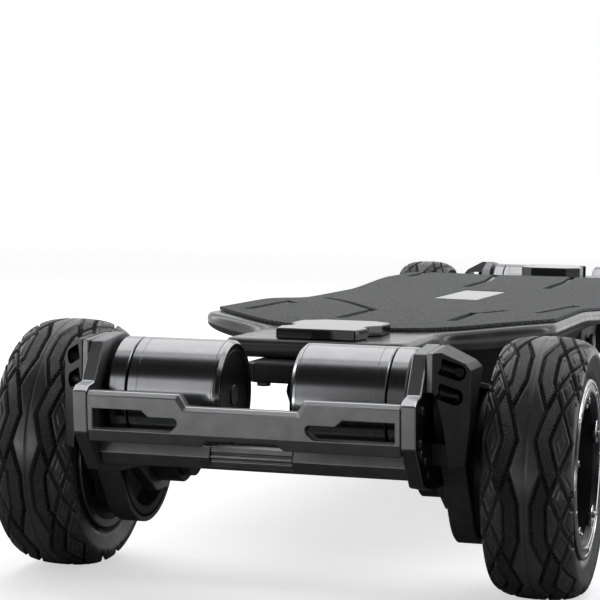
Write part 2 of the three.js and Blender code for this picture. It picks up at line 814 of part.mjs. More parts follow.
const enclosureTop = tyreRadius + deckSoffit - clearance;
const enclosureBottom = enclosureTop - enclosureDepth;
const enclosureFloor = enclosureBottom + enclosureWall;
const sidePortHeight = enclosureTop - enclosureDepth / 2;
const sideLean = (enclosureHalfWidth * (1 - enclosureFloorShare)) / enclosureDepth;

function sideAt(height) {
  return enclosureHalfWidth - (enclosureTop - height) * sideLean;
}

const controlsFace = sideAt(sidePortHeight + portFlangeRadius + overrun);
const portPlace = controlsSpacing / 2;
const buttonPlace = -controlsSpacing / 2;

function enclosureBlock(inset, bottom, top) {
  const geometry = new THREE.BoxGeometry(2, 2, 1);
  const position = geometry.attributes.position;
  for (let i = 0; i < position.count; i += 1) {
    const height = position.getZ(i) > 0 ? top : bottom;
    const below = (enclosureTop - height) / enclosureDepth;
    const x = sideAt(height) - inset;
    const y = enclosureHalfLength - below * enclosureEndSlope - inset;
    position.setXYZ(i, position.getX(i) * x, position.getY(i) * y, height);
  }
  return solidOf(geometry);
}

function buildEnclosure() {
  const shell = cut(enclosureBlock(0, enclosureBottom, enclosureTop),
    enclosureBlock(enclosureWall, enclosureFloor, enclosureTop + overrun));
  const boss = block(controlsFace - portDepth, controlsFace, -controlsSpacing, controlsSpacing,
    sidePortHeight - portFlangeRadius - overrun, sidePortHeight + portFlangeRadius + overrun);
  const hole = (y, radius) => rodAlongX(controlsFace - portDepth - overrun, controlsFace + overrun,
    radius + clearance, y, sidePortHeight, smallFacets);
  return cut(joined(shell, boss), hole(portPlace, portRadius), hole(buttonPlace, buttonStemRadius));
}

function buildBattery() {
  const start = -enclosureHalfLength + enclosureEndSlope + packGap;
  return block(-batteryWidth / 2, batteryWidth / 2, start, start + batteryLength,
    enclosureFloor + clearance, enclosureFloor + clearance + batteryHeight);
}

function buildController() {
  const end = enclosureHalfLength - enclosureEndSlope - packGap;
  return block(-controllerWidth / 2, controllerWidth / 2, end - controllerLength, end,
    enclosureFloor + clearance, enclosureFloor + clearance + controllerHeight);
}

function buildButton() {
  const headStart = controlsFace + buttonTravel + clearance;
  return joined(
    rodAlongX(controlsFace - portDepth, headStart + overrun, buttonStemRadius, buttonPlace, sidePortHeight,
      smallFacets),
    rodAlongX(headStart, headStart + buttonHeadLength, buttonRadius, buttonPlace, sidePortHeight, motorFacets));
}

function buildChargePort() {
  const flange = controlsFace + clearance;
  const body = joined(
    rodAlongX(controlsFace - portDepth, flange, portRadius, portPlace, sidePortHeight, smallFacets),
    rodAlongX(flange, flange + portFlangeThickness, portFlangeRadius, portPlace, sidePortHeight, motorFacets));
  return cut(body, rodAlongX(controlsFace - portDepth + overrun, flange + portDepth, portSocketRadius, portPlace,
    sidePortHeight, smallFacets));
}

function buildPortCap() {
  const face = controlsFace + clearance + portFlangeThickness + clearance;
  return joined(
    rodAlongX(face, face + capThickness, portFlangeRadius, portPlace, sidePortHeight, motorFacets),
    block(face, face + capThickness, portPlace - capHingeRadius * 2, portPlace + capHingeRadius * 2,
      sidePortHeight + portFlangeRadius - overrun, sidePortHeight + portFlangeRadius + capHingeRadius));
}

const deck = buildDeck();
const board = new THREE.Group();
board.add(buildTruck('rear'), buildTruck('front'));
board.add(
  piece('deck', deck, carbon()),
  piece('grip_sheet', buildGripSheet(deck), gritty()),
  piece('status_window', buildWindow(), glossy()),
  piece('rear_cover_plate', buildCoverPlate('rear'), glossy()),
  piece('front_cover_plate', buildCoverPlate('front'), glossy()),
  piece('battery_enclosure', buildEnclosure(), plastic()),
  piece('battery_pack', buildBattery(), plastic()),
  piece('motor_controller', buildController(), anodised()),
  piece('power_button', buildButton(), plastic()),
  piece('charge_port', buildChargePort(), blackMetal()),
  piece('charge_port_cap', buildPortCap(), rubber()),
);

export default board;
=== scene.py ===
import bpy
import math
from functools import cache
from mathutils import Matrix, Vector


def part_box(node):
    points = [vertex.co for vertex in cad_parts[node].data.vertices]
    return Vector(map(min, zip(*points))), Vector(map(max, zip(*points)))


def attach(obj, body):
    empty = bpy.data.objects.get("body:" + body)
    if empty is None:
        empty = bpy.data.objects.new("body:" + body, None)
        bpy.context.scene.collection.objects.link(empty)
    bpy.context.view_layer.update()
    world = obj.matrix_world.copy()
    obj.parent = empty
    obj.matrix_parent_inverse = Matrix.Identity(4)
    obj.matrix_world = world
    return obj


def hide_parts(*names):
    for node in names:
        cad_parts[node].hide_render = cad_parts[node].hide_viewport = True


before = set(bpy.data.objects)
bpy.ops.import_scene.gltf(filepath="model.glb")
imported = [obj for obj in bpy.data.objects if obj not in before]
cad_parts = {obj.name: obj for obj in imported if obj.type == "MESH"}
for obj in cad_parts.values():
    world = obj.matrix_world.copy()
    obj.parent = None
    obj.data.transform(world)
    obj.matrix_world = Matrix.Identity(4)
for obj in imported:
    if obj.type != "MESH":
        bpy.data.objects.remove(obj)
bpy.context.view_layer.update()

# Camera: a long lens, low behind the right rear wheel, that looks along the board to its far end.
camera_place = Vector((0.34099, -1.65906, 0.24312))
camera_forward = Vector((-0.28161, 0.95757, -0.06131)).normalized()
camera_up = Vector((-0.03289, 0.05423, 0.99799)).normalized()
camera_lens = 123.0
sensor_width = 36.0

bpy.ops.object.camera_add()
camera = bpy.context.object
camera.name = "camera"
camera.data.lens = camera_lens
camera.data.sensor_width = sensor_width
camera.data.clip_start = 0.01
camera.data.clip_end = 100
camera_right = camera_forward.cross(camera_up).normalized()
camera_turn = Matrix((camera_right, camera_up, -camera_forward)).transposed()
camera.matrix_world = Matrix.Translation(camera_place) @ camera_turn.to_4x4()
bpy.context.scene.camera = camera
bpy.context.scene.view_settings.view_transform = "Standard"


# Studio: a pale floor that glows a little, and more far away, white all round as the camera and the metal
# see it, and dark cards that only the metal sees. Under the board the metal sees a painted shadow on the
# floor.
floor_size = 40
# The second grey is a painted shadow on the floor under the board, seen only by glossy rays.
floor_grey, painted_shadow_grey, card_grey = 0.80, 0.08, 0.01
glow_reach, floor_glow = (0.8, 7.0), (0.56, 0.74)
painted_shadow_reach, glow_in_metal = (0.75, 1.35), 0.75
fill_strength = 0.32
# Each card: its middle, its two sides in metres, and the way that it faces.
cards = {
    "ceiling_card": ((0, -2.38, 2.3), (7.0, 3.1), (0, 0, -1)),
    "softbox_back": ((0, 0.77, 2.02), (3.2, 2.7), (0, -1.05, -1.82)),
    "camera_card": ((1.3, -3.9, 1.17), (4.7, 2.3), (0, 1, 0)),
    "right_card": ((3.1, -1.9, 1.17), (4.0, 2.3), (-1, 0, 0)),
}
# Each lamp: its place, its two sides in metres, and its power in watts.
lamps = {
    "overhead_softbox": ((0, 0.7, 1.9), (2.8, 2.3), 32),
    "left_strip": ((-2.0, 0.5, 0.95), (0.5, 1.6), 7),
    "right_strip": ((2.1, 0.3, 0.95), (0.5, 1.6), 7),
    "low_strip": ((-1.3, -2.9, 0.2), (0.8, 0.3), 4),
}
lamp_aim = Vector((0, -0.35, 0.08))


def add_node(tree, kind, inputs=None, **settings):
    """A new node in a tree. Each of its inputs holds a value or is linked to another node's output."""
    made = tree.nodes.new(kind)
    for name, value in settings.items():
        setattr(made, name, value)
    for name, value in (inputs or {}).items():
        if isinstance(value, bpy.types.NodeSocket):
            tree.links.new(value, made.inputs[name])
        else:
            made.inputs[name].default_value = value
    return made


def combined(tree, operation, first, second=0.0):
    """One value or two, worked into a new one."""
    return add_node(tree, "ShaderNodeMath", {0: first, 1: second}, operation=operation).outputs[0]


def ranged(tree, value, start, end, low, high):
    """A value that goes from low to high while another goes from start to end."""
    return add_node(tree, "ShaderNodeMapRange", {
        "Value": value, "From Min": start, "From Max": end, "To Min": low, "To Max": high}).outputs[0]


def mixed(tree, share, first, second):
    """A colour that goes from one to another while a share goes from 0 to 1."""
    return add_node(tree, "ShaderNodeMix", {0: share, 6: first, 7: second}, data_type="RGBA").outputs[2]


def noise(tree, size, detail=3.0, stretch=(1, 1, 1)):
    """Noise with features of a size in metres, drawn out along the axes where its stretch is small."""
    place = add_node(tree, "ShaderNodeTexCoord").outputs["Object"]
    scale = [share / size for share in stretch]
    scaled = add_node(tree, "ShaderNodeMapping", {"Vector": place, "Scale": scale})
    return add_node(tree, "ShaderNodeTexNoise", {
        "Vector": scaled.outputs[0], "Scale": 1.0, "Detail": detail, "Roughness": 0.55}).outputs["Fac"]


def raised(tree, pattern, height):
    """Lets a pattern of 0 to 1 stand so high on the surface, on top of what stands there already."""
    normal = tree.nodes["Principled BSDF"].inputs["Normal"]
    bump = add_node(tree, "ShaderNodeBump", {"Strength": 1.0, "Distance": height, "Height": pattern})
    if normal.is_linked:
        tree.links.new(normal.links[0].from_socket, bump.inputs["Normal"])
    tree.links.new(bump.outputs["Normal"], normal)


def finish(name, colour, roughness, metallic=0.0, mottle=None, rough=None, relief=None):
    """A new material for a slot. Noise changes its colour (mottle: the noise's size, a darker and a lighter
    share), how rough it is (rough: size, low, high) and its surface (relief: size, height). What else the
    noise takes comes after these."""
    material = bpy.data.materials.new(name)
    material.use_nodes = True
    tree = material.node_tree
    shader = tree.nodes["Principled BSDF"].inputs
    shader["Base Color"].default_value = (*colour, 1)
    shader["Roughness"].default_value = roughness
    shader["Metallic"].default_value = metallic

    def levels(size, low, high, *more):
        return ranged(tree, noise(tree, size, *more), 0.3, 0.7, low, high)

    if mottle:
        size, dark, light, *more = mottle
        tones = [(*(Vector(colour) * share), 1) for share in (dark, light)]
        tree.links.new(mixed(tree, levels(size, 0.0, 1.0, *more), *tones), shader["Base Color"])
    if rough:
        tree.links.new(levels(*rough), shader["Roughness"])
    if relief:
        size, height, *more = relief
        raised(tree, noise(tree, size, *more), height)
    return material


world = bpy.data.worlds.new("studio")
bpy.context.scene.world = world
world.use_nodes = True
world_tree = world.node_tree
world_tree.nodes.clear()
world_rays = add_node(world_tree, "ShaderNodeLightPath").outputs
shown = combined(world_tree, "MAXIMUM", world_rays["Is Camera Ray"], world_rays["Is Glossy Ray"])
shown = combined(world_tree, "MAXIMUM", shown, world_rays["Is Transmission Ray"])
background = add_node(world_tree, "ShaderNodeBackground", {
    "Color": (1, 1, 1, 1), "Strength": ranged(world_tree, shown, 0.0, 1.0, fill_strength, 1.0)})
add_node(world_tree, "ShaderNodeOutputWorld", {"Surface": background.outputs[0]})

bpy.ops.mesh.primitive_plane_add(size=floor_size)
floor = bpy.context.object
floor.name = "studio_floor"
floor_paint = finish("floor_paint", [floor_grey] * 3, 0.9)
floor_tree = floor_paint.node_tree
floor_shader = floor_tree.nodes["Principled BSDF"].inputs
floor_rays = add_node(floor_tree, "ShaderNodeLightPath").outputs
floor_spot = add_node(floor_tree, "ShaderNodeTexCoord").outputs["Object"]
from_middle = add_node(
    floor_tree, "ShaderNodeVectorMath", {0: floor_spot}, operation="LENGTH").outputs["Value"]


def on_rays(kind, reach, near, far):
    """A value that goes from near to far across a reach of the floor, for one kind of ray alone."""
    value = ranged(floor_tree, from_middle, *reach, near, far)
    return combined(floor_tree, "MULTIPLY", value, floor_rays[kind])


glow = combined(floor_tree, "ADD", on_rays("Is Camera Ray", glow_reach, *floor_glow),
                on_rays("Is Glossy Ray", painted_shadow_reach, 0.0, glow_in_metal))
# Glossy rays see the floor painted dark near the board: a painted shadow of the board.
floor_tone_with_painted_shadow = mixed(floor_tree, on_rays("Is Glossy Ray", painted_shadow_reach, 1.0, 0.0),
                   (*[floor_grey] * 3, 1), (*[painted_shadow_grey] * 3, 1))
floor_shader["Emission Color"].default_value = (1, 1, 1, 1)
floor_tree.links.new(glow, floor_shader["Emission Strength"])
floor_tree.links.new(floor_tone_with_painted_shadow, floor_shader["Base Color"])
floor.data.materials.append(floor_paint)

card_paint = finish("card_paint", [card_grey] * 3, 0.95)
for card_name, (place, size, facing) in cards.items():
    turn = Vector(facing).to_track_quat("Z", "Y").to_euler()
    bpy.ops.mesh.primitive_plane_add(size=1, location=place, rotation=turn)
    card = bpy.context.object
    card.name = card_name
    card.scale = (*size, 1)
    card.visible_camera = card.visible_diffuse = card.visible_shadow = False
    card.data.materials.append(card_paint)

for lamp_name, (place, size, power) in lamps.items():
    bpy.ops.object.light_add(type="AREA", location=place)
    lamp = bpy.context.object
    lamp.name = lamp_name
    lamp.data.shape = "RECTANGLE"
    lamp.data.size, lamp.data.size_y = size
    lamp.data.energy = power
    lamp.rotation_euler = (lamp_aim - Vector(place)).to_track_quat("-Z", "Y").to_euler()


# Tyres: black rubber, moulded round the rim, with the same five-fold tread on both halves. Smooth in the
# middle, a knurled zigzag band on each side of it, and diamond blocks out to the shoulder.
def turned(degrees, axis):
    """A turn round one of the main axes."""
    return Matrix.Rotation(math.radians(degrees), 4, axis)


def shifted(x, y, z):
    return Matrix.Translation((x, y, z))


millimetre = 0.001
tyre_low, tyre_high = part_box("rear_tyre_right")
tyre_radius = (tyre_high.z - tyre_low.z) / 2 / millimetre
half_track = (tyre_high.x + tyre_low.x) / 2 / millimetre
board_place = Matrix.Scale(millimetre, 4)
rear_place = shifted(0, (tyre_low.y + tyre_high.y) / 2, tyre_radius * millimetre) @ board_place
swap_sides = Matrix.Diagonal((-1, 1, 1, 1))
other_side = {"_right": "_left", "_left": "_right", "": ""}
ends = {"rear": Matrix.Identity(4), "front": turned(180, "Z")}

tread_repeats = 5
tread_turn = 19
tread_columns = 148
tread_rows = 100
tread_half = 27.0
tread_period = 2 * math.pi * tyre_radius / tread_repeats
half_period = tread_period / 2
point_half, wide_half, flat_half = 4.8, 9.5, 3.4
wide_at, flat_from = 17.2, 37.1
band_point, band_wide, band_flat, block_corner = 13.3, 18.2, 12.0, 25.5
crossing = 20.0
groove_ramp = 0.45
# Each groove: its width, its depth and its points, as the way round from a point of the zigzag and the
# distance from the middle line.
grooves = [
    (0.8, 0.9, [(0, 0), (half_period, 0)]),
    (1.8, 3.0, [(0, point_half), (wide_at, wide_half), (half_period, crossing), (28, tread_half + 1)]),
    (1.8, 3.0, [(half_period, flat_half), (flat_from, flat_half), (wide_at, wide_half)]),
    (1.6, 2.8, [(0, band_point), (wide_at, band_wide), (40, tread_half)]),
    (1.6, 2.8, [(half_period, band_flat), (flat_from, band_flat), (0, block_corner)]),
    (0.6, 0.9, [(0, 16.8), (7.5, 19.2), (0, 22.2)]),
    (0.6, 0.9, [(half_period, 14.6), (40.5, 14.6), (38.0, 16.2)]),
    (0.7, 1.2, [(24.0, 20.6), (33.0, 17.4), (40.0, 20.4), (31.0, 24.2)]),
    (0.7, 1.2, [(half_period, 23.2), (41.5, 25.4)]),
    (0.7, 1.2, [(10.0, 24.2), (17.5, 21.6), (25.0, 25.6)]),
]
tyre_side = [
    (0, 76), (4.2, 75.95), (8.1, 75.75), (13.2, 75.2), (18, 74.1), (22.2, 72.3), (24.9, 70.0), (25.9, 67.4),
    (25.3, 64.6), (24.5, 61.4), (23.8, 58.4), (23.3, 55.6), (22.7, 53.2),
]
tyre_bead = [(21.0, 52.4), (20.4, 45.9), (14.4, 46.0), (13.8, 60.0), (11.5, 67.5), (0, 70.0)]


def select_only(part):
    """Leaves one object selected and active."""
    bpy.ops.object.select_all(action="DESELECT")
    part.select_set(True)
    bpy.context.view_layer.objects.active = part


def edited(part, *steps):
    """Runs mesh operators with their settings, each on the whole of a part."""
    select_only(part)
    bpy.ops.object.mode_set(mode="EDIT")
    for operator, settings in steps:
        bpy.ops.mesh.select_all(action="SELECT")
        operator(**settings)
    bpy.ops.object.mode_set(mode="OBJECT")
    return part


outwards = (bpy.ops.mesh.normals_make_consistent, {"inside": False})


def closed_up(part, gap=0.001):
    """Merges the seams and poles of a part and turns its faces outwards."""
    merge = (bpy.ops.mesh.remove_doubles, {"threshold": gap})
    return edited(part, merge, (bpy.ops.mesh.delete_loose, {}), outwards)


def smoothed(part, angle=16):
    """Shades a part smooth, but for edges sharper than the angle."""
    select_only(part)
    bpy.ops.object.shade_smooth_by_angle(angle=math.radians(angle))
    return part


def sheet(columns, rows, place):
    """A grid of faces whose corners stand where a function of their column and row puts them."""
    bpy.ops.object.select_all(action="DESELECT")
    bpy.ops.mesh.primitive_grid_add(x_subdivisions=columns, y_subdivisions=rows, size=1)
    part = bpy.context.object
    for vertex in part.data.vertices:
        vertex.co = place(round((vertex.co.x + 0.5) * columns), round((vertex.co.y + 0.5) * rows))
    return part


def curve_through(points, steps):
    """A smooth line through points, with so many steps from each to the next."""
    corners = [Vector(point) for point in (points[0], *points, points[-1])]
    line = []
    for p, q, r, s in zip(corners, corners[1:], corners[2:], corners[3:]):
        for t in (step / steps for step in range(steps)):
            line.append(0.5 * (2 * q + (r - p) * t + (2 * p - 5 * q + 4 * r - s) * t ** 2
                               + (3 * q - p - 3 * r + s) * t ** 3))
    return [*line, points[-1]]


def at_distance(line, distance):
    """The point of a line that lies so far along it."""
    for (x0, y0), (x1, y1) in zip(line, line[1:]):
        length = math.hypot(x1 - x0, y1 - y0)
        if distance <= length:
            share = distance / length
            return (x0 + (x1 - x0) * share, y0 + (y1 - y0) * share)
        distance -= length
    return line[-1]


def segment_distance(point, start, end):
    """How far a point is from a straight piece of line."""
    (px, py), (ax, ay), (bx, by) = point, start, end
    dx, dy = bx - ax, by - ay
    share = ((px - ax) * dx + (py - ay) * dy) / (dx * dx + dy * dy)
    share = min(max(share, 0), 1)
    return math.hypot(px - ax - dx * share, py - ay - dy * share)


def eased(t):
    """A soft step from 0 to 1."""
    t = min(max(t, 0), 1)
    return t * t * (3 - 2 * t)


def along(x, points):
    """The height of a broken line at x."""
    for (x0, y0), (x1, y1) in zip(points, points[1:]):
        if x <= x1:
            return y0 + (y1 - y0) * (x - x0) / (x1 - x0)
    return points[-1][1]


@cache
def tread_cut(column, row):
    """How deep the tread is cut so many steps round and across from a point of the zigzag, and how much of
    the knurling it bears there."""
    around = tread_period * column / tread_columns
    across = tread_half * 2 * row / tread_rows
    depth = 0
    for width, deep, points in grooves:
        for start, end in zip(points, points[1:]):
            away = segment_distance((around, across), start, end) - width / 2
            depth = max(depth, deep * (1 - eased((away + groove_ramp) / (2 * groove_ramp))))
    inner = along(around, [(0, point_half), (wide_at, wide_half), (half_period, crossing)])
    flat = along(around, [
        (0, wide_half + 5), (wide_at, wide_half), (flat_from, flat_half), (half_period, flat_half)])
    outer = along(around, [(0, band_point), (wide_at, band_wide), (half_period, tread_half)])
    limit = along(around, [(0, block_corner), (flat_from, band_flat), (half_period, band_flat)])
    pointed = inner < across < min(outer, limit)
    flattened = around > wide_at and flat < across < min(limit, inner)
    return depth, float(pointed or flattened)


side_line = curve_through(tyre_side, 8)
section = []
for row in range(tread_rows + 1):
    across = tread_half * (2 * row / tread_rows - 1)
    x, r = at_distance(side_line, abs(across))
    section.append((math.copysign(x, across), r, across))
wall_step = 2.4
wall = [at_distance(side_line, tread_half + wall_step * k) for k in range(1, 6)] + [tyre_side[-1]]
rest = [(x, r, None) for x, r in wall + tyre_bead]
section = section + rest + [(-x, r, None) for x, r, _ in reversed(rest[:-1])]
section.append(section[0])
tyre_columns = tread_columns * tread_repeats
tyre_rows = len(section) - 1


def tread_at(column, row):
    """The tread's depth and knurling at a place of the tyre's grid."""
    row %= tyre_rows
    folded = column % tread_columns
    if row > tread_rows:
        return 0.0, 0.0
    return tread_cut(min(folded, tread_columns - folded), abs(row - tread_rows // 2))


def tyre_corner(column, row):
    x, r, across = section[row]
    depth = tread_at(column, row)[0]
    r -= depth
    if across is not None:
        x -= math.copysign(depth * 0.5 * (across / tread_half) ** 2, across)
    angle = 2 * math.pi * column / tyre_columns - math.radians(tread_turn)
    return (half_track + x, -r * math.cos(angle), -r * math.sin(angle))


tyre = sheet(tyre_columns, tyre_rows, tyre_corner)
knurl = tyre.data.attributes.new("knurl", "FLOAT", "POINT")
knurl.data.foreach_set("value", [
    tread_at(column, row)[1] for row in range(tyre_rows + 1) for column in range(tyre_columns + 1)])
smoothed(closed_up(tyre), 180)


tyre_rubber = finish("tyre_rubber", (0.045, 0.045, 0.046), 0.33, mottle=(0.03, 0.85, 1.2),
                     rough=(0.012, 0.22, 0.36), relief=(0.0006, 0.00004))
knurl_lines_around, knurl_lines_across = 330, 50
knurl_height = 0.0010
tyre_tree = tyre_rubber.node_tree
tyre_map = add_node(tyre_tree, "ShaderNodeUVMap").outputs[0]
tyre_axes = add_node(tyre_tree, "ShaderNodeSeparateXYZ", {0: tyre_map}).outputs
knurl_waves = []
for lean in (1, -1):
    around = combined(tyre_tree, "MULTIPLY", tyre_axes["X"], 2 * math.pi * knurl_lines_around)
    across = combined(tyre_tree, "MULTIPLY", tyre_axes["Y"], lean * 2 * math.pi * knurl_lines_across)
    knurl_waves.append(combined(tyre_tree, "SINE", combined(tyre_tree, "ADD", around, across)))
knurl_mask = add_node(tyre_tree, "ShaderNodeAttribute", attribute_name="knurl").outputs["Fac"]
knurling = combined(tyre_tree, "MULTIPLY", combined(tyre_tree, "MAXIMUM", *knurl_waves), knurl_mask)
raised(tyre_tree, knurling, knurl_height)


def fitted(part, name, place, material, body, *nodes, slot=None):
    """A copy of a part with its own mesh, put in its place and tied to the body that it moves with."""
    copy = part.copy()
    copy.data = part.data.copy()
    copy.name = copy.data.name = name
    bpy.context.scene.collection.objects.link(copy)
    copy.data.transform(place)
    if place.determinant() < 0:
        copy.data.flip_normals()
    copy.data.materials.clear()
    copy.data.materials.append(material)
    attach(copy, body)
    if nodes:
        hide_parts(*nodes)


def on_both_trucks(part, name, material, body, *nodes, sides=("",)):
    """Puts a part that is drawn in the middle of the rear truck, or for its right half, where it belongs on
    both trucks. It moves with its truck, with the wheel or the rotor at its side, or with the board."""
    for end, turn in ends.items():
        for side in sides:
            place = turn @ rear_place @ (swap_sides if side == "_left" else Matrix.Identity(4))
            if end == "front":
                side = other_side[side]
            carriers = {"board": body, "truck": f"{end}_truck"}
            fitted(part, f"{name}_{end}{side}", place, material, carriers.get(body, f"{end}{side}_{body}"),
                   *[f"{end}_{node}{side}" for node in nodes])
    bpy.data.objects.remove(part)


def on_both_sides(part, name, material, body, *nodes):
    """Puts a part that is drawn for the right half of the rear truck on both halves of both trucks."""
    on_both_trucks(part, name, material, body, *nodes, sides=("_right", "_left"))


on_both_sides(tyre, "tyre", tyre_rubber, "wheel", "tyre")


# Rims: black cast aluminium barrels with five spokes, and a bright turned lip ring that is screwed on
# through five tabs. The ball bearing in the hub is steel.
hub_inner, rim_inner, rim_outer = half_track - 28, half_track - 24, half_track + 24.6
spoke_angles = [6 + 72 * k for k in range(5)]


def drawn(points, fill_type):
    """An open or a filled outline with a corner at each point."""
    bpy.ops.object.select_all(action="DESELECT")
    bpy.ops.mesh.primitive_circle_add(vertices=len(points), fill_type=fill_type)
    part = bpy.context.object
    for vertex, point in zip(part.data.vertices, points):
        vertex.co = point
    return part


def spun(profile, steps, y=0, z=0):
    """A closed profile of places along X and radii, turned all the way round an axis along X."""
    line = drawn([(x, y, z + radius) for x, radius in profile], "NOTHING")
    spin = {"steps": steps, "angle": 2 * math.pi, "center": (0, y, z), "axis": (1, 0, 0)}
    return closed_up(edited(line, (bpy.ops.mesh.spin, spin)))


def plate(outline, axis, low, high):
    """A solid with an outline in the two other axes, that runs from low to high along one."""
    face = drawn([{"x": (low, a, b), "y": (a, low, b), "z": (a, b, low)}[axis] for a, b in outline], "NGON")
    push = {"value": [high - low if name == axis else 0 for name in "xyz"]}
    return edited(face, (bpy.ops.mesh.extrude_region_move, {"TRANSFORM_OT_translate": push}), outwards)


def beside(place, profile):
    """A profile whose places are counted from a place along X."""
    return [(place + x, radius) for x, radius in profile]


def block(axis, low, high, a0, a1, b0, b1):
    """A plate with a rectangle for its outline."""
    return plate([(a0, b0), (a1, b0), (a1, b1), (a0, b1)], axis, low, high)


def moved(part, place):
    """Moves a part's own points."""
    part.data.transform(place)
    return part


def joined(part, *others):
    """Makes one object of several."""
    select_only(part)
    for other in others:
        other.select_set(True)
    bpy.ops.object.join()
    return part


def scattered(part, places):
    """One object made of a copy of a part at each of some places."""
    copies = []
    for place in places:
        copy = part.copy()
        copy.data = part.data.copy()
        copy.data.transform(place)
        bpy.context.scene.collection.objects.link(copy)
        copies.append(copy)
    bpy.data.objects.remove(part)
    return joined(*copies)


def modified(part, kind, **settings):
    """Applies a modifier of some kind to a part."""
    select_only(part)
    bpy.ops.object.modifier_add(type=kind)
    modifier = part.modifiers[-1]
    for name, value in settings.items():
        setattr(modifier, name, value)
    bpy.ops.object.modifier_apply(modifier=modifier.name)
    return part


def carved(part, *tools, operation="DIFFERENCE"):
    """Cuts tools out of a part, or joins or crosses them with it. The tools are used up."""
    for tool in tools:
        modified(part, "BOOLEAN", operation=operation, solver="EXACT", object=tool)
        bpy.data.objects.remove(tool)
    return part


def rounded(part, width, segments=1):
    """Breaks a part's edges where they are sharper than 30 degrees."""
    modified(part, "BEVEL", width=width, segments=segments, limit_method="ANGLE",
             angle_limit=math.radians(30))
    return smoothed(part, 16 if segments == 1 else 40)


def arc(centre, radius, start, end, steps):
    """Points on a circle from one angle to another, in degrees."""
    return [(centre[0] + radius * math.cos(math.radians(start + (end - start) * k / steps)),
             centre[1] + radius * math.sin(math.radians(start + (end - start) * k / steps)))
            for k in range(steps + 1)]


def disc(radius, low, high, y=0, z=0, steps=48):
    """A plain round plug along X, to cut holes with."""
    return spun([(low, 0), (low, radius), (high, radius), (high, 0)], steps, y, z)


def hexagon(radius, low, high):
    return plate(arc((0, 0), radius, 0, 300, 5), "x", low, high)


def screw(radius, height):
    """A round screw head with a hexagon socket, that stands on the origin and points along X."""
    head = spun([(-1, 0), (-1, radius), (height - 0.5, radius), (height, radius - 0.5), (height, 0)], 28)
    return smoothed(carved(head, hexagon(radius * 0.55, height * 0.35, height + 2)))


rim_barrel = spun(
    beside(rim_inner, [(0, 42.3), (0.8, 41.5)])
    + beside(rim_outer, [(-4, 41.5), (-1.4, 43.2), (-1.4, 51.6), (-1.9, 52.1), (-2.6, 52.1), (-3.4, 45.5)])
    + beside(rim_inner, [(3.4, 45.5), (2.6, 52.1), (0.7, 52.1), (0, 51.4)]), 120)
hub = spun([
    *beside(hub_inner, [(6, 8), (6, 11.2), (0, 11.2), (0, 16.2), (0.8, 17)]), (156.2, 17), (158.6, 15.4),
    (159, 14.6), (159, 11.2), (153, 11.2), (153, 8)], 64)
spoke_outline = [
    (-9.0, 12.5), (9.0, 12.5), (6.2, 18.0), (5.0, 26.0), (5.6, 34.0), (8.5, 42.6), (0, 43.4), (-8.5, 42.6),
    (-5.6, 34.0), (-5.0, 26.0), (-6.2, 18.0),
]
spoke = rounded(plate(spoke_outline, "x", 143, 158.5), 1.4, 2)
spokes = scattered(spoke, [turned(angle, "X") for angle in spoke_angles])
rim = joined(smoothed(rim_barrel), smoothed(hub), spokes)
black_metal = finish("black_metal", (0.030, 0.030, 0.032), 0.36, 0.55,
                     mottle=(0.02, 0.85, 1.15), rough=(0.004, 0.32, 0.42), relief=(0.0005, 0.00001, 2.0))
on_both_sides(rim, "rim", black_metal, "wheel", "rim")

lip_ring = spun(beside(rim_outer, [
    (-1.3, 44.4), (-1.3, 51.7), (-0.8, 52.1), (0, 51.4), (0, 49.8), (-0.5, 49.4), (-0.5, 47.9), (-0.1, 47.6),
    (-0.1, 45.2), (-0.5, 44.4)]), 160)
inner_ring = smoothed(spun(beside(rim_inner, [
    (-0.7, 47.4), (-0.7, 51.2), (-0.2, 51.7), (0.3, 51.3), (0.3, 47.0), (-0.3, 47.0)]), 160))
tick = block("x", rim_outer - 0.7, rim_outer + 1, -0.5, 0.5, 43, 53)
ticks = scattered(tick, [turned(5 + 45 * k, "X") for k in range(8)])
lip_ring = smoothed(carved(lip_ring, ticks))
tab = plate([(-8.5, 44.6), (-6.5, 40.5), (-4.6, 37.4), (-2.2, 36.0), (2.2, 36.0), (4.6, 37.4), (6.5, 40.5),
             (8.5, 44.6)], "x", rim_outer - 3.4, rim_outer - 1.2)
tabs = scattered(rounded(tab, 0.4), [turned(angle, "X") for angle in spoke_angles])
bright_metal = finish("bright_metal", (0.74, 0.74, 0.75), 0.2, 1.0, mottle=(0.03, 0.92, 1.03),
                      rough=(0.0015, 0.16, 0.26, 3.0, (1, 0.15, 0.15)))
on_both_sides(inner_ring, "inner_ring", bright_metal, "wheel")
on_both_sides(joined(lip_ring, tabs), "lip_ring", bright_metal, "wheel")

rim_screws = scattered(screw(2.1, 1.6), [
    turned(6 + 36 * k, "X") @ shifted(rim_outer - 1.4, 0, 47.4 if k % 2 else 40.6)
    for k in range(10)])
steel = finish("steel", (0.42, 0.42, 0.43), 0.3, 1.0, mottle=(0.01, 0.85, 1.1),
               rough=(0.001, 0.24, 0.38))
on_both_sides(rim_screws, "rim_screws", steel, "wheel")
outer_bearing = smoothed(spun([
    (153.2, 6.4), (153.2, 11), (158.2, 11), (158.2, 9.7), (157.7, 9.4), (157.7, 7.8), (158.2, 7.5),
    (158.2, 6.4)], 48))
inner_bearing = smoothed(spun(beside(hub_inner, [(1, 6.4), (1, 11), (5.8, 11), (5.8, 6.4)]), 48))
bearings = joined(outer_bearing, inner_bearing)
on_both_sides(bearings, "hub_bearings", steel, "wheel")


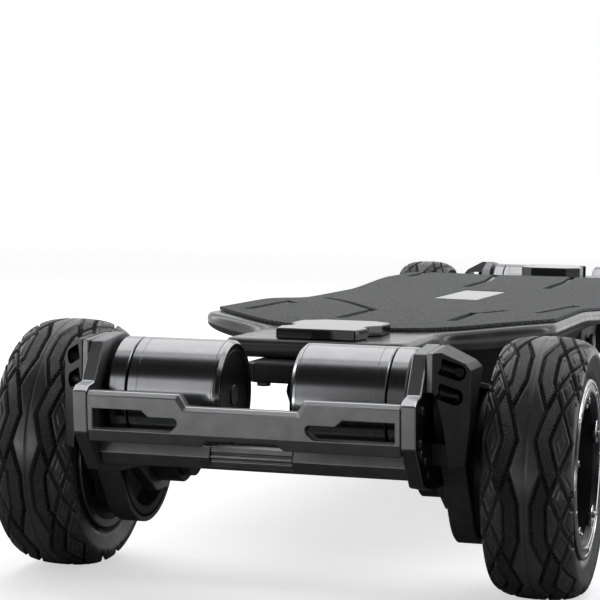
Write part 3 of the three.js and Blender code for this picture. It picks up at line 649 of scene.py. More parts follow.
# Wheel pulleys: black machined aluminium drums with 135 teeth, one bolted to the inside of each rim. The
# web behind the teeth is pierced by five windows.
pulley_teeth = 135
pulley_inner, pulley_outer = 97.8, 118.7
belt_outer = 111.8
pulley_radius = 42.97
tooth_height = 0.8
pulley_section = [
    (pulley_inner, 37.5, 0), (pulley_inner, 41.6, 0), (98.3, pulley_radius, 1), (112.2, pulley_radius, 1),
    (112.6, pulley_radius, 0), (118.2, pulley_radius, 0), (pulley_outer, 42.4, 0), (pulley_outer, 6.3, 0),
    (112.7, 6.3, 0), (pulley_inner, 6.3, 0), (pulley_inner, 14.4, 0), (98.4, 15, 0), (111.2, 15, 0),
    (112.7, 16.5, 0), (112.7, 35.5, 0), (111.2, 37, 0), (98.4, 37, 0), (pulley_inner, 37.5, 0),
]


def toothed(section, teeth, height, y=0, z=0):
    """A drum turned round X from places, radii and marks. The marked part has teeth of a height."""
    def corner(column, row):
        x, radius, marked = section[row]
        if marked and column % 4 in (1, 2):
            radius -= height
        angle = 2 * math.pi * (column + (0.25 if column % 4 in (1, 3) else -0.25)) / (4 * teeth)
        return (x, y + radius * math.cos(angle), z + radius * math.sin(angle))
    return closed_up(sheet(4 * teeth, len(section) - 1, corner))


wheel_pulley = toothed(pulley_section, pulley_teeth, tooth_height)
window_lead = 0.35
window = plate([(-4.6, 19.5), (4.6, 19.5), (8.6, 30.0), (5.4, 33.0), (-5.4, 33.0), (-8.6, 30.0)],
               "x", 110, 121)
windows = scattered(window, [
    Matrix.Rotation(math.radians(angle) + window_lead, 4, "X") for angle in spoke_angles])
wheel_pulley = smoothed(carved(wheel_pulley, windows))
on_both_sides(wheel_pulley, "wheel_pulley", black_metal, "wheel", "wheel_pulley")


# Drive belts: black rubber with fine teeth on the inside, one round each wheel pulley and its motor pulley.
motor_place = (-69.5, 41.0)
belt_wheel_radius, belt_motor_radius = 43.42, 11.91
belt_thickness = 3.2
belt_section = [
    (98.0, 0.0, 1), (111.6, 0.0, 1), (belt_outer, 1.1, 0), (belt_outer, 2.8, 0), (111.4, belt_thickness, 0),
    (98.2, belt_thickness, 0), (pulley_inner, 2.8, 0), (pulley_inner, 1.1, 0), (98.0, 0.0, 1),
]
span = math.hypot(*motor_place)
heading = math.atan2(motor_place[1], motor_place[0])
lean = math.acos((belt_wheel_radius - belt_motor_radius) / span)
straight = math.sqrt(span ** 2 - (belt_wheel_radius - belt_motor_radius) ** 2)
belt_lengths = [belt_wheel_radius * 2 * (math.pi - lean), straight, belt_motor_radius * 2 * lean, straight]
belt_teeth = round(sum(belt_lengths) / 2)


def belt_point(distance):
    """The place on the belt's inner face so far along it, and the direction that the face looks away from."""
    wheel_arc, run, motor_arc, _ = belt_lengths

    def on_pulleys(angle):
        """The places at an angle on the wheel pulley's side of the belt and on the motor pulley's."""
        away = Vector((math.cos(angle), math.sin(angle)))
        return belt_wheel_radius * away, Vector(motor_place) + belt_motor_radius * away

    if distance <= wheel_arc:
        angle = heading + lean + distance / belt_wheel_radius
        return on_pulleys(angle)[0], angle
    distance -= wheel_arc
    if run < distance <= run + motor_arc:
        angle = heading - lean + (distance - run) / belt_motor_radius
        return on_pulleys(angle)[1], angle
    first = distance <= run
    angle = heading - lean if first else heading + lean
    share = distance / run if first else 1 - (distance - run - motor_arc) / run
    wheel_end, motor_end = on_pulleys(angle)
    return wheel_end.lerp(motor_end, share), angle


def belt_corner(column, row):
    x, out, marked = belt_section[row]
    if marked and column % 4 in (1, 2):
        out += tooth_height
    (y, z), angle = belt_point(sum(belt_lengths) * (column % (4 * belt_teeth)) / (4 * belt_teeth))
    return (x, y + out * math.cos(angle), z + out * math.sin(angle))


belt = smoothed(closed_up(sheet(4 * belt_teeth, len(belt_section) - 1, belt_corner)), 30)
belt_rubber = finish("belt_rubber", (0.030, 0.030, 0.031), 0.55, mottle=(0.006, 0.8, 1.25),
                     relief=(0.0004, 0.00003))
on_both_sides(belt, "drive_belt", belt_rubber, "truck", "drive_belt")


# Motors: a turned gunmetal can that spins round a black stator, with a polished ring round its black end
# face. Its steel shaft runs through the mount plate to a 36-tooth pulley.
can_inner, can_outer = 20.5, 74.7
can_profile = [
    *beside(can_inner, [
        (0.3, 28.6), (0, 28.9), (0, 29.6), (2, 31.4), (3.4, 31.5), (3.6, 31.1), (4.2, 31.1), (4.4, 31.5)]),
    *beside(can_outer, [
        (-6.4, 31.5), (-6.2, 31.2), (-5.8, 31.2), (-5.6, 31.5), (-0.6, 31.5), (0, 30.9), (0, 28.5)]),
    *beside(can_inner, [(5, 28.5), (5, 28.0), (0.9, 28.0)]),
]
motor_can = smoothed(spun(can_profile, 144, *motor_place))
gunmetal = finish("gunmetal", (0.37, 0.37, 0.38), 0.2, 1.0, mottle=(0.02, 0.92, 1.06),
                  rough=(0.0006, 0.18, 0.24, 3.0, (1, 0.05, 0.05)))
on_both_sides(motor_can, "motor_can", gunmetal, "rotor", "motor_rotor")

motor_axis = shifted(0, *motor_place)
motor_face = smoothed(spun(beside(can_inner, [
    (1.0, 5), (1.0, 24.4), (0.6, 24.8), (0.6, 25.5), (1.0, 25.9), (1.0, 27.9), (4.9, 27.9), (4.9, 5)]),
    96, *motor_place))
deep_black = finish("deep_black", (0.010, 0.010, 0.011), 0.35, 1.0,
                    mottle=(0.01, 0.8, 1.2), rough=(0.003, 0.3, 0.42))
on_both_sides(motor_face, "motor_end_face", deep_black, "rotor")

shaft_cap = smoothed(spun(beside(can_inner, [(0.3, 0), (0.3, 5.7), (0.7, 6.1), (1.5, 6.1), (1.5, 0)]),
                          48, *motor_place))
on_both_sides(shaft_cap, "shaft_cap", black_metal, "rotor")

shaft = spun([*beside(can_inner, [(1.6, 0), (1.6, 6.1), (4.8, 6.1), (4.8, 5)]), (97.6, 5), (97.6, 0)],
             48, *motor_place)
motor_pulley = toothed([
    (97.8, 0, 0), (97.8, 10.6, 0), (98.1, 11.46, 1), (112.4, 11.46, 1), (112.4, 13.9, 0), (112.7, 14.2, 0),
    (113.5, 14.2, 0), (113.8, 13.9, 0), (113.8, 5.6, 0), (113.2, 5.0, 0), (113.2, 0, 0), (97.8, 0, 0),
], 36, tooth_height, *motor_place)
on_both_sides(joined(smoothed(shaft), smoothed(motor_pulley)), "motor_shaft", steel, "rotor")

stator = smoothed(spun([
    (26.3, 5.3), (26.3, 27.9), (76.1, 27.9), (76.1, 30.2), (85.3, 30.2), (85.3, 26.0), (88.9, 26.0),
    (88.9, 5.3)], 96, *motor_place))
stator = joined(stator, scattered(moved(screw(2.2, 1.6), turned(180, "Z")), [
    motor_axis @ turned(45 + 90 * k, "X") @ shifted(85.5, 0, 28.2) for k in range(4)]))
on_both_sides(stator, "motor_stator", black_metal, "truck", "motor_stator")
motor_flange = smoothed(spun([
    (75.5, 30.3), (75.5, 30.9), (76.0, 31.5), (85.0, 31.5), (85.9, 30.7), (85.9, 30.3)], 144, *motor_place))
on_both_sides(motor_flange, "motor_flange", gunmetal, "truck")


# Motor mounts: thick black anodised plates with bead-blasted faces, one beside each motor. The hanger is
# bolted into the foot, and the guard bar and the skid bar join their rear edges.
plate_inner, plate_outer = 89.2, 97.2
mount_outline = [
    (-66.7, 74.5), (-98.6, 71.7), (-111.9, 50.0), (-121.0, 48.5), (-124.75, 45.7), (-122.4, 22.3),
    (-101.4, -0.9), (-77.2, -5.6), (-40.5, -7.45), (-8.8, -26.5), (8.8, -26.5), (26.5, -13.25), (26.5, 13.25),
    (13.25, 26.5), (-31.8, 49.9), (-44.9, 67.8),
]


def mount_plate(outline, axle_hole, low, high):
    """A plate with a hole of some radius for the axle, and one for the motor's shaft."""
    slab = plate(outline, "x", low, high)
    return carved(slab, disc(axle_hole, 80, 105), disc(9, 80, 105, *motor_place, steps=40))


mount = rounded(mount_plate(mount_outline, 6.3, plate_inner, plate_outer), 0.9)
anodised = finish("anodised", (0.25, 0.25, 0.255), 0.46, 1.0, mottle=(0.01, 0.9, 1.1),
                  rough=(0.0012, 0.40, 0.52), relief=(0.00035, 0.00003, 2.0))
anodised_tree = anodised.node_tree
anodised_colour = anodised_tree.nodes["Principled BSDF"].inputs["Base Color"]
# Faces chosen below by facing upwards get this lighter grey: a painted highlight.
painted_highlight_colour = (0.62, 0.62, 0.63, 1)
painted_highlight_mask = add_node(anodised_tree, "ShaderNodeAttribute", attribute_name="painted_highlight").outputs["Fac"]
painted_highlight_mix = mixed(anodised_tree, painted_highlight_mask, anodised_colour.links[0].from_socket, painted_highlight_colour)
anodised_tree.links.new(painted_highlight_mix, anodised_colour)


def painted_highlight(part, chosen):
    """Marks the faces of an anodised part that are painted lighter as a highlight, by where they are and the
    way they face.
    """
    marks = part.data.attributes.new("painted_highlight", "FLOAT", "FACE")
    for face in part.data.polygons:
        marks.data[face.index].value = float(chosen(face.center, face.normal))
    return part


# Painted highlight: the upward faces of the step at the plate's top are coloured lighter.
mount = painted_highlight(mount, lambda spot, way: 44 < spot.z < 50.5 and way.z > 0.5)
on_both_sides(mount, "motor_mount", anodised, "truck", "motor_mount")

# A thin black sheet on the plate's outer face: painted shade in the gap beside the belt cover.
shade_liner_outline = [(-52 + (y + 52) * 0.98, 25 + (z - 25) * 0.97) for y, z in mount_outline]
shade_liner = mount_plate(shade_liner_outline, 9, plate_outer + 0.03, plate_outer + 0.25)
on_both_sides(shade_liner, "painted_shade_liner", deep_black, "truck")

mount_screws = [(-15, -12), (14, -8), (-110, 42), (-113.5, 24.6), (-111, 18.5), (-100.5, 13.5), (-92.5, 5.6)]
plate_screws = scattered(screw(2.6, 1.8), [shifted(plate_outer - 0.6, y, z) for y, z in mount_screws])
on_both_sides(plate_screws, "mount_screws", black_metal, "truck")


# Belt covers: hollow black aluminium caps on the plates' outer sides, round the motor pulleys. Two slanted
# pockets in the bevelled rear corner hold their screws, and a brighter block fills the corner beside each.
cover_inner, cover_outer = 97.5, 119.0
cover_side = [
    (-65.0, 74.5), (-102.0, 72.3), (-102.0, 20.5), (-96.5, 9.7), (-72.7, 9.7), (-49.0, 36.5),
    (-46.0, 55.2), (-56.1, 65.5),
]
cover_back = [
    (cover_inner, 76.5), (102, 76.5), (102, 74.2), (116, 66), (cover_outer, 61.5), (cover_outer, 41),
    (116.5, 9.4), (cover_inner, 9.4),
]
cover_plan = [(cover_inner, -101.3), (101.5, -101.3), (118.5, -84.5), (118.5, -40), (cover_inner, -40)]
belt_cover = carved(
    plate(cover_side, "x", cover_inner, cover_outer), plate(cover_back, "y", -110, 0),
    plate(cover_plan, "z", 0, 80), operation="INTERSECT")
lower_notch = plate([(96, 50.5), (101.9, 50.5), (103.5, 46), (106.5, 30), (108.5, 14), (108.5, 8), (96, 8)],
                    "y", -110, -84)
belt_cover = rounded(carved(belt_cover, lower_notch), 0.8)
cover_room = plate([(-85.6, 63.5), (-85.6, 22.5), (-41.2, -9.7), (0, -9.7), (0, 63.5)], "x", 95, 115.2)
tyre_room = disc(79, 115, 147, steps=96)
pocket_radius, pocket_start, pocket_length, pocket_slant = 4.4, -2.2, 10.6, 0.32
pocket_turn = turned(44.7, "Z") @ Matrix.Rotation(pocket_slant, 4, "Y")
pocket_places = [shifted(*spot) @ pocket_turn for spot in ((105.2, -96.2, 64.6), (104.1, -97.3, 51.4))]
scoop = spun([(pocket_start, 0), (pocket_start, pocket_radius),
              *beside(pocket_length, arc((0, 0), pocket_radius, 90, 0, 10))], 40)
mouth = plate([*arc((pocket_length, 0), pocket_radius, -90, 90, 16), (pocket_start, pocket_radius),
               (pocket_start, -pocket_radius)], "y", -14, 0)
screw_turn = turned(-90, "Z")
screw_bore = moved(disc(3.0, -6.2, 1, steps=32), screw_turn)
block_room = plate([(-66.2, 78), (-104, 78), (-104, 50.7), (-86.1, 50.7), (-86.1, 66.1), (-66.2, 66.1)],
                   "x", 96, 101.1)
belt_cover = carved(belt_cover, cover_room, tyre_room, block_room)
for tool in (scoop, mouth, screw_bore):
    belt_cover = closed_up(carved(belt_cover, scattered(tool, pocket_places)), 0.005)
belt_cover = smoothed(belt_cover)
satin_black = finish("satin_black", (0.034, 0.034, 0.036), 0.38, 1.0, mottle=(0.015, 0.9, 1.1),
                     rough=(0.003, 0.36, 0.46), relief=(0.0004, 0.00001, 2.0))
on_both_sides(belt_cover, "belt_cover", satin_black, "truck", "belt_cover")

block_side = [(-66.3, 74.2), (-101.5, 72.1), (-101.5, 50.8), (-86.2, 50.8), (-86.2, 66.2), (-66.3, 66.2)]
cover_block = rounded(plate(block_side, "x", cover_inner, 101.0), 0.5)
on_both_sides(cover_block, "cover_block", anodised, "truck")

cover_screws = scattered(moved(screw(2.4, 1.8), screw_turn), [
    place @ shifted(0, 5.6, 0) for place in pocket_places])
on_both_sides(cover_screws, "cover_screws", black_metal, "truck")


# Guard bars: black anodised bars across the backs of the motors, with a stepped slot in each half. Their
# top edge is bevelled, with a painted highlight on the bevel, and their lower edge is bent under.
bar_half = 88.9
guard_half = [(bar_half, 46.0), (35.6, 46.0), (31.6, 39.4)]
guard_under = [(19.6, 21), (23.6, 17.6), (bar_half, 17.6)]
slot_half = [(85.9, 24.8), (42.4, 24.8), (40.4, 25.4), (37.0, 28.4), (36.4, 29.9), (36.8, 31.6), (38.4, 32.6),
             (53.2, 32.6), (57.2, 36.2), (85.9, 36.2)]


def flipped(points):
    """The mirror image of an outline, in the opposite order."""
    return [(-x, z) for x, z in reversed(points)]


def chamfered(part, width, chosen):
    """Bevels the edges of a part whose two ends are both chosen."""
    weights = part.data.attributes.new("bevel_weight_edge", "FLOAT", "EDGE")
    for edge in part.data.edges:
        weights.data[edge.index].value = float(all(chosen(part.data.vertices[k].co) for k in edge.vertices))
    modified(part, "BEVEL", width=width, segments=1, limit_method="WEIGHT")
    part.data.attributes.remove(part.data.attributes["bevel_weight_edge"])
    return part


guard = plate([*guard_half, *flipped(guard_half), *flipped(guard_under), *guard_under], "y", -130, -105)
guard_side = plate([
    (-116.05, 48), (-124.9, 48), (-122.5, 24), (-118.86, 15.6), (-113.46, 15.6),
], "x", -bar_half - 5, bar_half + 5)
guard = closed_up(carved(guard, guard_side, operation="INTERSECT"), 0.01)
guard = chamfered(guard, 2.5, lambda spot: spot.y < -119 and spot.z > 38)
slots = [plate(points, "y", -135, -100) for points in (slot_half, flipped(slot_half))]
guard = rounded(carved(guard, *slots), 0.4)
# Painted highlight: the bevel along the top, facing up and back, is coloured lighter.
guard = painted_highlight(guard, lambda spot, way: spot.z > 36 and way.y < -0.4 and way.z > 0.4)
# A thin black shelf behind the slots' lower edge: painted shade that darkens what the cans reflect there.
shade_shelf = plate([(-115, 22.4), (-104, 23.4), (-104, 24.2), (-115, 24.2)], "x", -85.5, 85.5)
shade_shelf = carved(shade_shelf, block("y", -118, -90, -34, 34, 10, 40))
on_both_trucks(shade_shelf, "painted_shade_shelf", deep_black, "truck")
on_both_trucks(guard, "guard_bar", anodised, "truck", "guard_bar")


# Skid bars: lower anodised bars that stand a little further in, with a ridged insert in the middle recess.
skid_side = [(-101.75, 15.7), (-103.75, 9.7), (-99.75, 2.6), (-91.46, 2.6), (-91.46, 13.7), (-93.46, 15.7)]
skid = plate(skid_side, "x", -bar_half, bar_half)
skid = rounded(carved(skid, block("y", -110, -100.25, -24, 24, 4.6, 18)), 0.5)
# Painted highlight: the faces along the top edge that face up and back are coloured lighter.
skid = painted_highlight(skid, lambda spot, way: spot.z > 14 and way.y < -0.3 and way.z > 0.5)
on_both_trucks(skid, "skid_bar", anodised, "truck", "skid_bar")

insert_side = [
    (-99.9, 15.5), (-101.6, 15.3), (-102.3, 12.6), (-101.3, 12.0), (-101.3, 11.4), (-102.9, 11.0),
    (-103.2, 9.6), (-102.6, 9.0), (-101.3, 8.6), (-101.3, 8.0), (-101.9, 7.4), (-100.9, 5.0), (-99.9, 4.8),
]
insert = rounded(plate(insert_side, "x", -23.6, 23.6), 0.25)
on_both_trucks(insert, "skid_insert", anodised, "truck")


# Hangers: black cast aluminium beams that hold the axle, with a round boss at each end, a collar, and the
# tilted barrel that the board steers about.
hanger_end = 88.9
beam = plate([(13, 9), (7, 15), (-7, 15), (-13, 9), (-13, -5), (-7, -11), (7, -11), (13, -5)],
             "x", -hanger_end, hanger_end)
boss_profile = [
    (66.5, 0), (67.9, 17), (73.9, 17), (73.9, 20.2), (74.7, 21), (hanger_end, 21), (hanger_end, 0)]
boss, mirror_boss = spun(boss_profile, 64), spun([(-x, radius) for x, radius in boss_profile], 64)
web = plate([(-10, 0), (4, 0), (21, 20), (11, 30)], "x", -11, 11)
steer_turn = shifted(0, 16, 25) @ turned(45, "X")
steer_place = steer_turn @ turned(-90, "Y")
barrel = moved(spun([(-8, 0), (-8, 11.2), (-7.2, 12), (7.2, 12), (8, 11.2), (8, 0)], 64), steer_place)
pin_hole = moved(disc(5.3, -30, 30), steer_place)
hanger = carved(beam, boss, mirror_boss, web, barrel, operation="UNION")
hanger = smoothed(carved(hanger, disc(6.3, -95, 95), pin_hole))
on_both_trucks(hanger, "hanger", black_metal, "truck", "hanger")


# Axles: bright steel rods through the hangers, with a nut at each end.
axle = spun([(-158, 0), (-158, 5.2), (-157.2, 6), (157.2, 6), (158, 5.2), (158, 0)], 48)
nut = carved(rounded(hexagon(9.6, 150.6, 156.6), 0.5), disc(6.05, 140, 170))
nuts = scattered(nut, ends.values())
on_both_trucks(joined(smoothed(axle), nuts), "axle", steel, "truck", "axle")


# Baseplates: black aluminium, screwed under the deck's ends. Two ears carry the kingpin, which is a steel
# bolt, and a urethane ring bushing sits on it at each side of the hanger's barrel.
base_plate = rounded(plate([
    (-34, -6), (-28, -12), (28, -12), (34, -6), (34, 84), (26, 92), (-26, 92), (-34, 84),
], "z", 42.7, 54.7), 1.0)


def ear(low, high, rise):
    """An ear across the kingpin, with a round end."""
    outline = [(11, rise), *arc((0, -1), 11, 0, -180, 16), (-11, rise)]
    return moved(plate(outline, "z", low, high), steer_turn)


baseplate = carved(base_plate, ear(13.6, 21.1, 20.5), ear(-21.1, -13.6, 55.2), operation="UNION")
baseplate = smoothed(carved(baseplate, moved(disc(5.3, -30, 30), steer_place)))
on_both_trucks(baseplate, "baseplate", black_metal, "board", "baseplate")
base_screws = scattered(moved(screw(4.2, 3.2), turned(90, "Y")), [
    shifted(x, y, 42.7) for x in (-26, 26) for y in (2, 78)])
on_both_trucks(base_screws, "baseplate_screws", steel, "board")
kingpin = spun([
    (-26.4, 0), (-26.4, 7.8), (-25.7, 8.5), (-21.4, 8.5), (-21.4, 5), (20.6, 5), (21.4, 4.2), (21.4, 0)], 48)
kingpin = carved(kingpin, hexagon(4.6, -30, -23.4))
on_both_trucks(moved(smoothed(kingpin), steer_place), "kingpin", steel, "board", "kingpin")
urethane = finish("urethane", (0.026, 0.026, 0.027), 0.5, mottle=(0.008, 0.85, 1.2),
                  relief=(0.0006, 0.00003))
bushing_profile = [(8.3, 5.3), (8.3, 9.4), (8.9, 10), (10.8, 9.5), (12.7, 10), (13.3, 9.4), (13.3, 5.3)]
for level, side in (("upper", 1), ("lower", -1)):
    bushing = moved(smoothed(spun([(side * x, radius) for x, radius in bushing_profile], 56)), steer_place)
    on_both_trucks(bushing, f"bushing_{level}", urethane, "board", f"bushing_{level}")


# Deck: a black carbon composite board. Its narrow necks carry the trucks, and its wide platform is dished
# near the ends and crowned in the middle.
axle_height = tyre_radius
deck_half_length = 471.5
neck_half, deck_half = 58.0, 122.0
neck_length, flare_length = 84.0, 78.0
deck_top, deck_under = 66.6, 55.0
edge_round, end_round = 4.0, 9.0
side_margin = 0.04


def on_board(part, name, material, *nodes, body="board", place=board_place, slot=None):
    """Puts a part that is drawn over the middle of the floor in its place."""
    fitted(part, name, place, material, body, *nodes, slot=slot)
    bpy.data.objects.remove(part)


def deck_width_at(from_end):
    return neck_half + (deck_half - neck_half) * eased((from_end - neck_length) / flare_length)


def dish_at(from_end):
    """How far the deck has become dished, and then crowned, so far from its end."""
    return eased((from_end - 86) / 60), eased((from_end - 270) / 149.9)


def deck_top_at(x, from_end):
    """How high the deck's top stands over the axles."""
    dish, crown = dish_at(from_end)
    return deck_top + 1.2 * dish + (3.2 * dish * (1 - crown) - 2.2 * crown) * (x / deck_half) ** 2


def deck_bottom_at(x, from_end):
    dish, crown = dish_at(from_end)
    return deck_under + 6 * dish * (1 - crown) * (x / deck_half) ** 4


def round_off(distance, radius):
    """How far a rounded edge stands back, so far from the edge."""
    left = radius - min(max(distance, 0), radius)
    return radius - math.sqrt(radius ** 2 - left ** 2)


half_stations = [0, 0, 0.2, 0.6, 1.2, 1.9, 2.8, 4, 6, 9, 13]
half_stations += [20 + 8 * k for k in range(8)] + [neck_length + 3.9 * k for k in range(1, 21)]
half_stations += [174 + 12 * k for k in range(9)] + [282 + 13.6 * k for k in range(14)]
stations = [(-1, s) for s in half_stations] + [(1, s) for s in reversed(half_stations)]
across_steps = 22
side_steps = 5
deck_loop = [("top", 1 - 2 * k / across_steps) for k in range(across_steps + 1)]
deck_loop += [("left", k / side_steps) for k in range(side_steps + 1)]
deck_loop += [("bottom", -1 + 2 * k / across_steps) for k in range(across_steps + 1)]
deck_loop += [("right", 1 - k / side_steps) for k in range(side_steps + 1)]
deck_loop.append(deck_loop[0])


def deck_corner(column, row):
    end, from_end = stations[column]
    kind, share = deck_loop[row]
    half = deck_width_at(from_end) - round_off(from_end, end_round)
    flat = kind in ("top", "bottom")
    x = share * (half - edge_round) if flat else half
    top = deck_top_at(x, from_end) - round_off(from_end, edge_round)
    bottom = deck_bottom_at(x, from_end) + round_off(from_end, edge_round)
    if flat:
        z = top if kind == "top" else bottom
    else:
        z = top + (bottom - top) * (side_margin + (1 - 2 * side_margin) * share)
        x = half - round_off(top - z, edge_round) - round_off(z - bottom, edge_round)
        x = -x if kind == "left" else x
    if column in (0, len(stations) - 1):
        z = (top + bottom) / 2
    return (x, end * (deck_half_length - from_end), axle_height + z)


deck = smoothed(closed_up(sheet(len(stations) - 1, len(deck_loop) - 1, deck_corner), 0.01), 45)
deck_lacquer = finish("deck_lacquer", (0.055, 0.055, 0.056), 0.22, mottle=(0.02, 0.8, 1.3),
                      rough=(0.01, 0.18, 0.26), relief=(0.0012, 0.000012, 3.0, (1, 0.3, 1)))
on_board(deck, "deck_board", deck_lacquer, "deck")


# Grip sheet: coarse dark grit, glued on the deck's top and cut through by thin lines and by the status
# window's opening.
grip_half = 119.0
grip_start, grip_curve = 89.0, 88.0
grip_low, grip_high = 0.4, 2.4
grip_across, grip_along = 60, 130
grip_loop = [("high", 1 - 2 * k / grip_along) for k in range(grip_along + 1)]
grip_loop += [("low", -1 + 2 * k / grip_along) for k in range(grip_along + 1)]
grip_loop.append(grip_loop[0])


def grip_corner(column, row):
    kind, share = grip_loop[row]
    u = 2 * (min(max(column, 1), grip_across + 1) - 1) / grip_across - 1
    x = u * grip_half
    reach = deck_half_length - grip_start - grip_curve * u * u
    y = share * reach
    lift = grip_high if kind == "high" else grip_low
    if column in (0, grip_across + 2):
        lift = (grip_high + grip_low) / 2
    return (x, y, axle_height + deck_top_at(x, deck_half_length - abs(y)) + lift)


def stroke(points, width):
    """The outline of a line of some width."""
    spots = [Vector(point) for point in points]
    legs = [(after - before).normalized() for before, after in zip(spots, spots[1:])]
    left, right = [], []
    for spot, leg, next_leg in zip(spots, legs[:1] + legs, legs + legs[-1:]):
        mean = (leg + next_leg).normalized()
        aside = Vector((-mean.y, mean.x)) * (width / 2 / max(mean.dot(leg), 0.4))
        left.append(spot + aside)
        right.append(spot - aside)
    return left + right[::-1]


grip_lines = [
    [(-99, -293.5), (-99, -193.5), (-90, -208.5)],
    [(-98, -93.5), (-62, -158.5), (-25, -226.5)],
    [(-25, -225.0), (-25, -319.5)],
    [(52, -318.5), (50, -231.5), (56, -228.5), (67, -198.5)],
    [(95, -228.5), (102, -189.5), (101, -88.5)],
    [(-29, 115.5), (-32, 230.5), (-47, 352.5), (-40, 356.5)],
    [(41, 124.5), (38, 256.5), (25, 390.5), (33, 384.5)],
    [(-106, 222.5), (-109, 332.5), (-94, 319.5)],
]
grip_cuts = [plate(stroke(points, 7), "z", 120, 170) for points in grip_lines]
window_half, window_length, window_slant = 18.5, 139.0, 8.0


def window_outline(margin):
    wide, far = window_half + margin, window_length / 2 + margin
    return [(-wide, -far + window_slant), (wide, -far), (wide, far - window_slant), (-wide, far)]


grip = closed_up(sheet(grip_across + 2, len(grip_loop) - 1, grip_corner), 0.01)
grip = smoothed(carved(grip, *grip_cuts, plate(window_outline(0.3), "z", 120, 170)), 30)
grit = finish("grit", (0.085, 0.086, 0.088), 0.85, mottle=(0.0016, 0.35, 2.0, 2.0),
              relief=(0.0014, 0.0009, 2.0))
on_board(grip, "grip_cover", grit, "grip_sheet")


# Status window: a slab of polished black glass-filled plastic, set into the grip sheet.
glass = rounded(plate(window_outline(0), "z", axle_height + 68.2, axle_height + 69.9), 0.5)
gloss = finish("gloss_black", (0.012, 0.012, 0.013), 0.08, rough=(0.02, 0.06, 0.11),
               relief=(0.01, 0.00001))
on_board(glass, "window_glass", gloss, "status_window")


# Cover plates: polished black plates with a waist, on the deck's necks, over the truck bolts.
def cover_plate(thickness):
    """A cover plate of some thickness, with its edges broken."""
    half = [(25, -469.5), (28, -450), (23.5, -442), (23.5, -431), (29.5, -421), (29.5, -398), (17, -385.5)]
    outline = half + flipped(half)
    low = axle_height + 66.7
    slab = plate([(x, y + 4) for x, y in outline], "z", low, axle_height + 66.3 + thickness)
    return rounded(slab, 0.7)


for end, thickness in (("rear", 7), ("front", 11)):
    on_board(cover_plate(thickness), f"cover_slab_{end}", gloss, f"{end}_cover_plate",
             place=ends[end] @ board_place)


# Battery enclosure: a textured black moulded tray under the deck, with a raised panel for the charge port
# and the power button on its right side. Screws hold it along the edge.
tray_top, tray_bottom = 130.7, 92.7
tray_half_length, tray_half_width = 262.0, 104.0
side_taper, end_taper = 0.2, 22


def tray(inset, bottom, top):
    """A tapered block, as the tray is outside or inside."""
    def at(height):
        below = (tray_top - height) / 38
        wide, far = tray_half_width * (1 - side_taper * below), tray_half_length - end_taper * below
        return wide - inset, far - inset
    across, lengthwise = [
        plate([(-under, bottom), (under, bottom), (over, top), (-over, top)], axis, -reach, reach)
        for axis, reach, under, over in zip("yx", (300, 200), at(bottom), at(top))]
    return carved(across, lengthwise, operation="INTERSECT")


enclosure = rounded(tray(0, tray_bottom, tray_top), 5, 4)
ribs = scattered(plate([(-2, 91), (2, 91), (1.2, 93.6), (-1.2, 93.6)], "y", -190, 190), [
    shifted(x, 0, 0) for x in (-60, -36, -12, 12, 36, 60)])
panel = rounded(block("x", 80, 101.2, -60, 60, 97.7, 125.7), 1.5, 3)
enclosure = carved(enclosure, ribs)
enclosure = carved(enclosure, panel, operation="UNION")
enclosure = carved(enclosure, tray(3, tray_bottom + 3, tray_top + 2), disc(9.3, 70, 110, 30, 111.7),
                   disc(5.3, 70, 110, -30, 111.7))
moulded = finish("moulded_black", (0.022, 0.022, 0.023), 0.55, mottle=(0.02, 0.85, 1.15),
                 relief=(0.0009, 0.00008))
on_board(smoothed(enclosure, 40), "enclosure_tray", moulded, "battery_enclosure")
tray_screws = scattered(moved(screw(2.6, 1.4), turned(90, "Y")), [
    shifted(x, y, 93.2) for x in (-74, 74) for y in (-220, -110, 0, 110, 220)])
on_board(tray_screws, "enclosure_screws", steel)


# Battery pack: two layers of cells side by side in blue-black shrink wrap, so their round backs show.
cell_pitch, cell_dip = 18.6, 0.9
wrap_start, wrap_length, wrap_steps = -216, 320, 170
wrap_loop = [
    (-72, 122), (72, 122), (75, 119), (75, 99), (72, 96), (-72, 96), (-75, 99), (-75, 119), (-72, 122)]


def wrap_corner(column, row):
    """The wrap's surface: waves along it where it lies over the cells."""
    along_pack = wrap_length * min(max(column - 1, 0), wrap_steps) / wrap_steps
    x, z = wrap_loop[row]
    dip = cell_dip * (1 - abs(math.sin(math.pi * along_pack / cell_pitch)))
    if abs(x) == 72:
        z += dip if z < 100 else -dip
    if column in (0, wrap_steps + 2):
        z = 109
    return (x, wrap_start + along_pack, z)


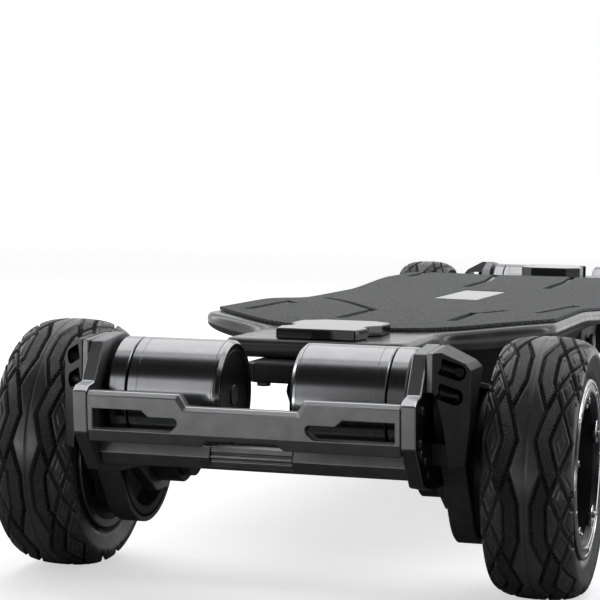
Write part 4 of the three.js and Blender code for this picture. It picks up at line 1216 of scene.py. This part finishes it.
pack = smoothed(closed_up(sheet(wrap_steps + 2, len(wrap_loop) - 1, wrap_corner), 0.01), 30)
wrap = finish("shrink_wrap", (0.03, 0.05, 0.09), 0.35, mottle=(0.02, 0.8, 1.2),
              relief=(0.004, 0.00015))
on_board(pack, "battery_wrap", wrap, "battery_pack")


# Motor controller: a black anodised case with cooling fins along its top, in front of the battery pack.
case = rounded(block("y", 106.2, 215.8, -65, 65, 96.1, 111), 1.2, 2)
fins = scattered(block("y", 110, 212, -1, 1, 110, 115.9), [shifted(-60 + 8 * k, 0, 0) for k in range(16)])
on_board(joined(case, fins), "controller_case", black_metal, "motor_controller", slot="controller")


# Power button, charge port and cap: a satin button, a socket with a metal ring, and a rubber flap whose
# strip is fastened over the socket.
button_middle, port_middle = (-30, 111.7), (30, 111.7)
button = spun([
    (87.3, 0), (87.3, 5), (103.1, 5), (103.1, 7.3), (103.8, 8), (106.2, 8), (107.1, 7.1), (106.7, 5.6),
    (106.5, 0)], 56, *button_middle)
satin = finish("satin_plastic", (0.035, 0.035, 0.037), 0.4, mottle=(0.006, 0.85, 1.2))
on_board(smoothed(button), "power_key", satin, "power_button", body="power_button")
port = spun([
    (87.3, 0), (87.3, 9), (101.5, 9), (101.5, 11.6), (101.9, 12), (103.1, 12), (103.5, 11.6), (103.5, 6.6),
    (102.9, 6), (89.3, 6), (89.3, 0)], 56, *port_middle)
pins = scattered(moved(disc(1.1, 88, 99, steps=20), shifted(0, *port_middle)), [
    shifted(0, y, z) for y, z in ((-2.6, -1.5), (2.6, -1.5), (0, 3))])
on_board(joined(smoothed(port), smoothed(pins)), "charge_socket", moulded, "charge_port")
cap = smoothed(spun([(103.9, 0), (103.9, 11.6), (104.3, 12), (107.2, 12), (107.9, 11.3), (107.5, 9.6),
                     (107.3, 0)], 56, *port_middle))
strip = rounded(block("x", 103.9, 107.8, 25, 35, 121.7, 126.2), 0.6, 2)
on_board(joined(cap, strip), "socket_flap", urethane, "charge_port_cap", body="charge_port_cap")
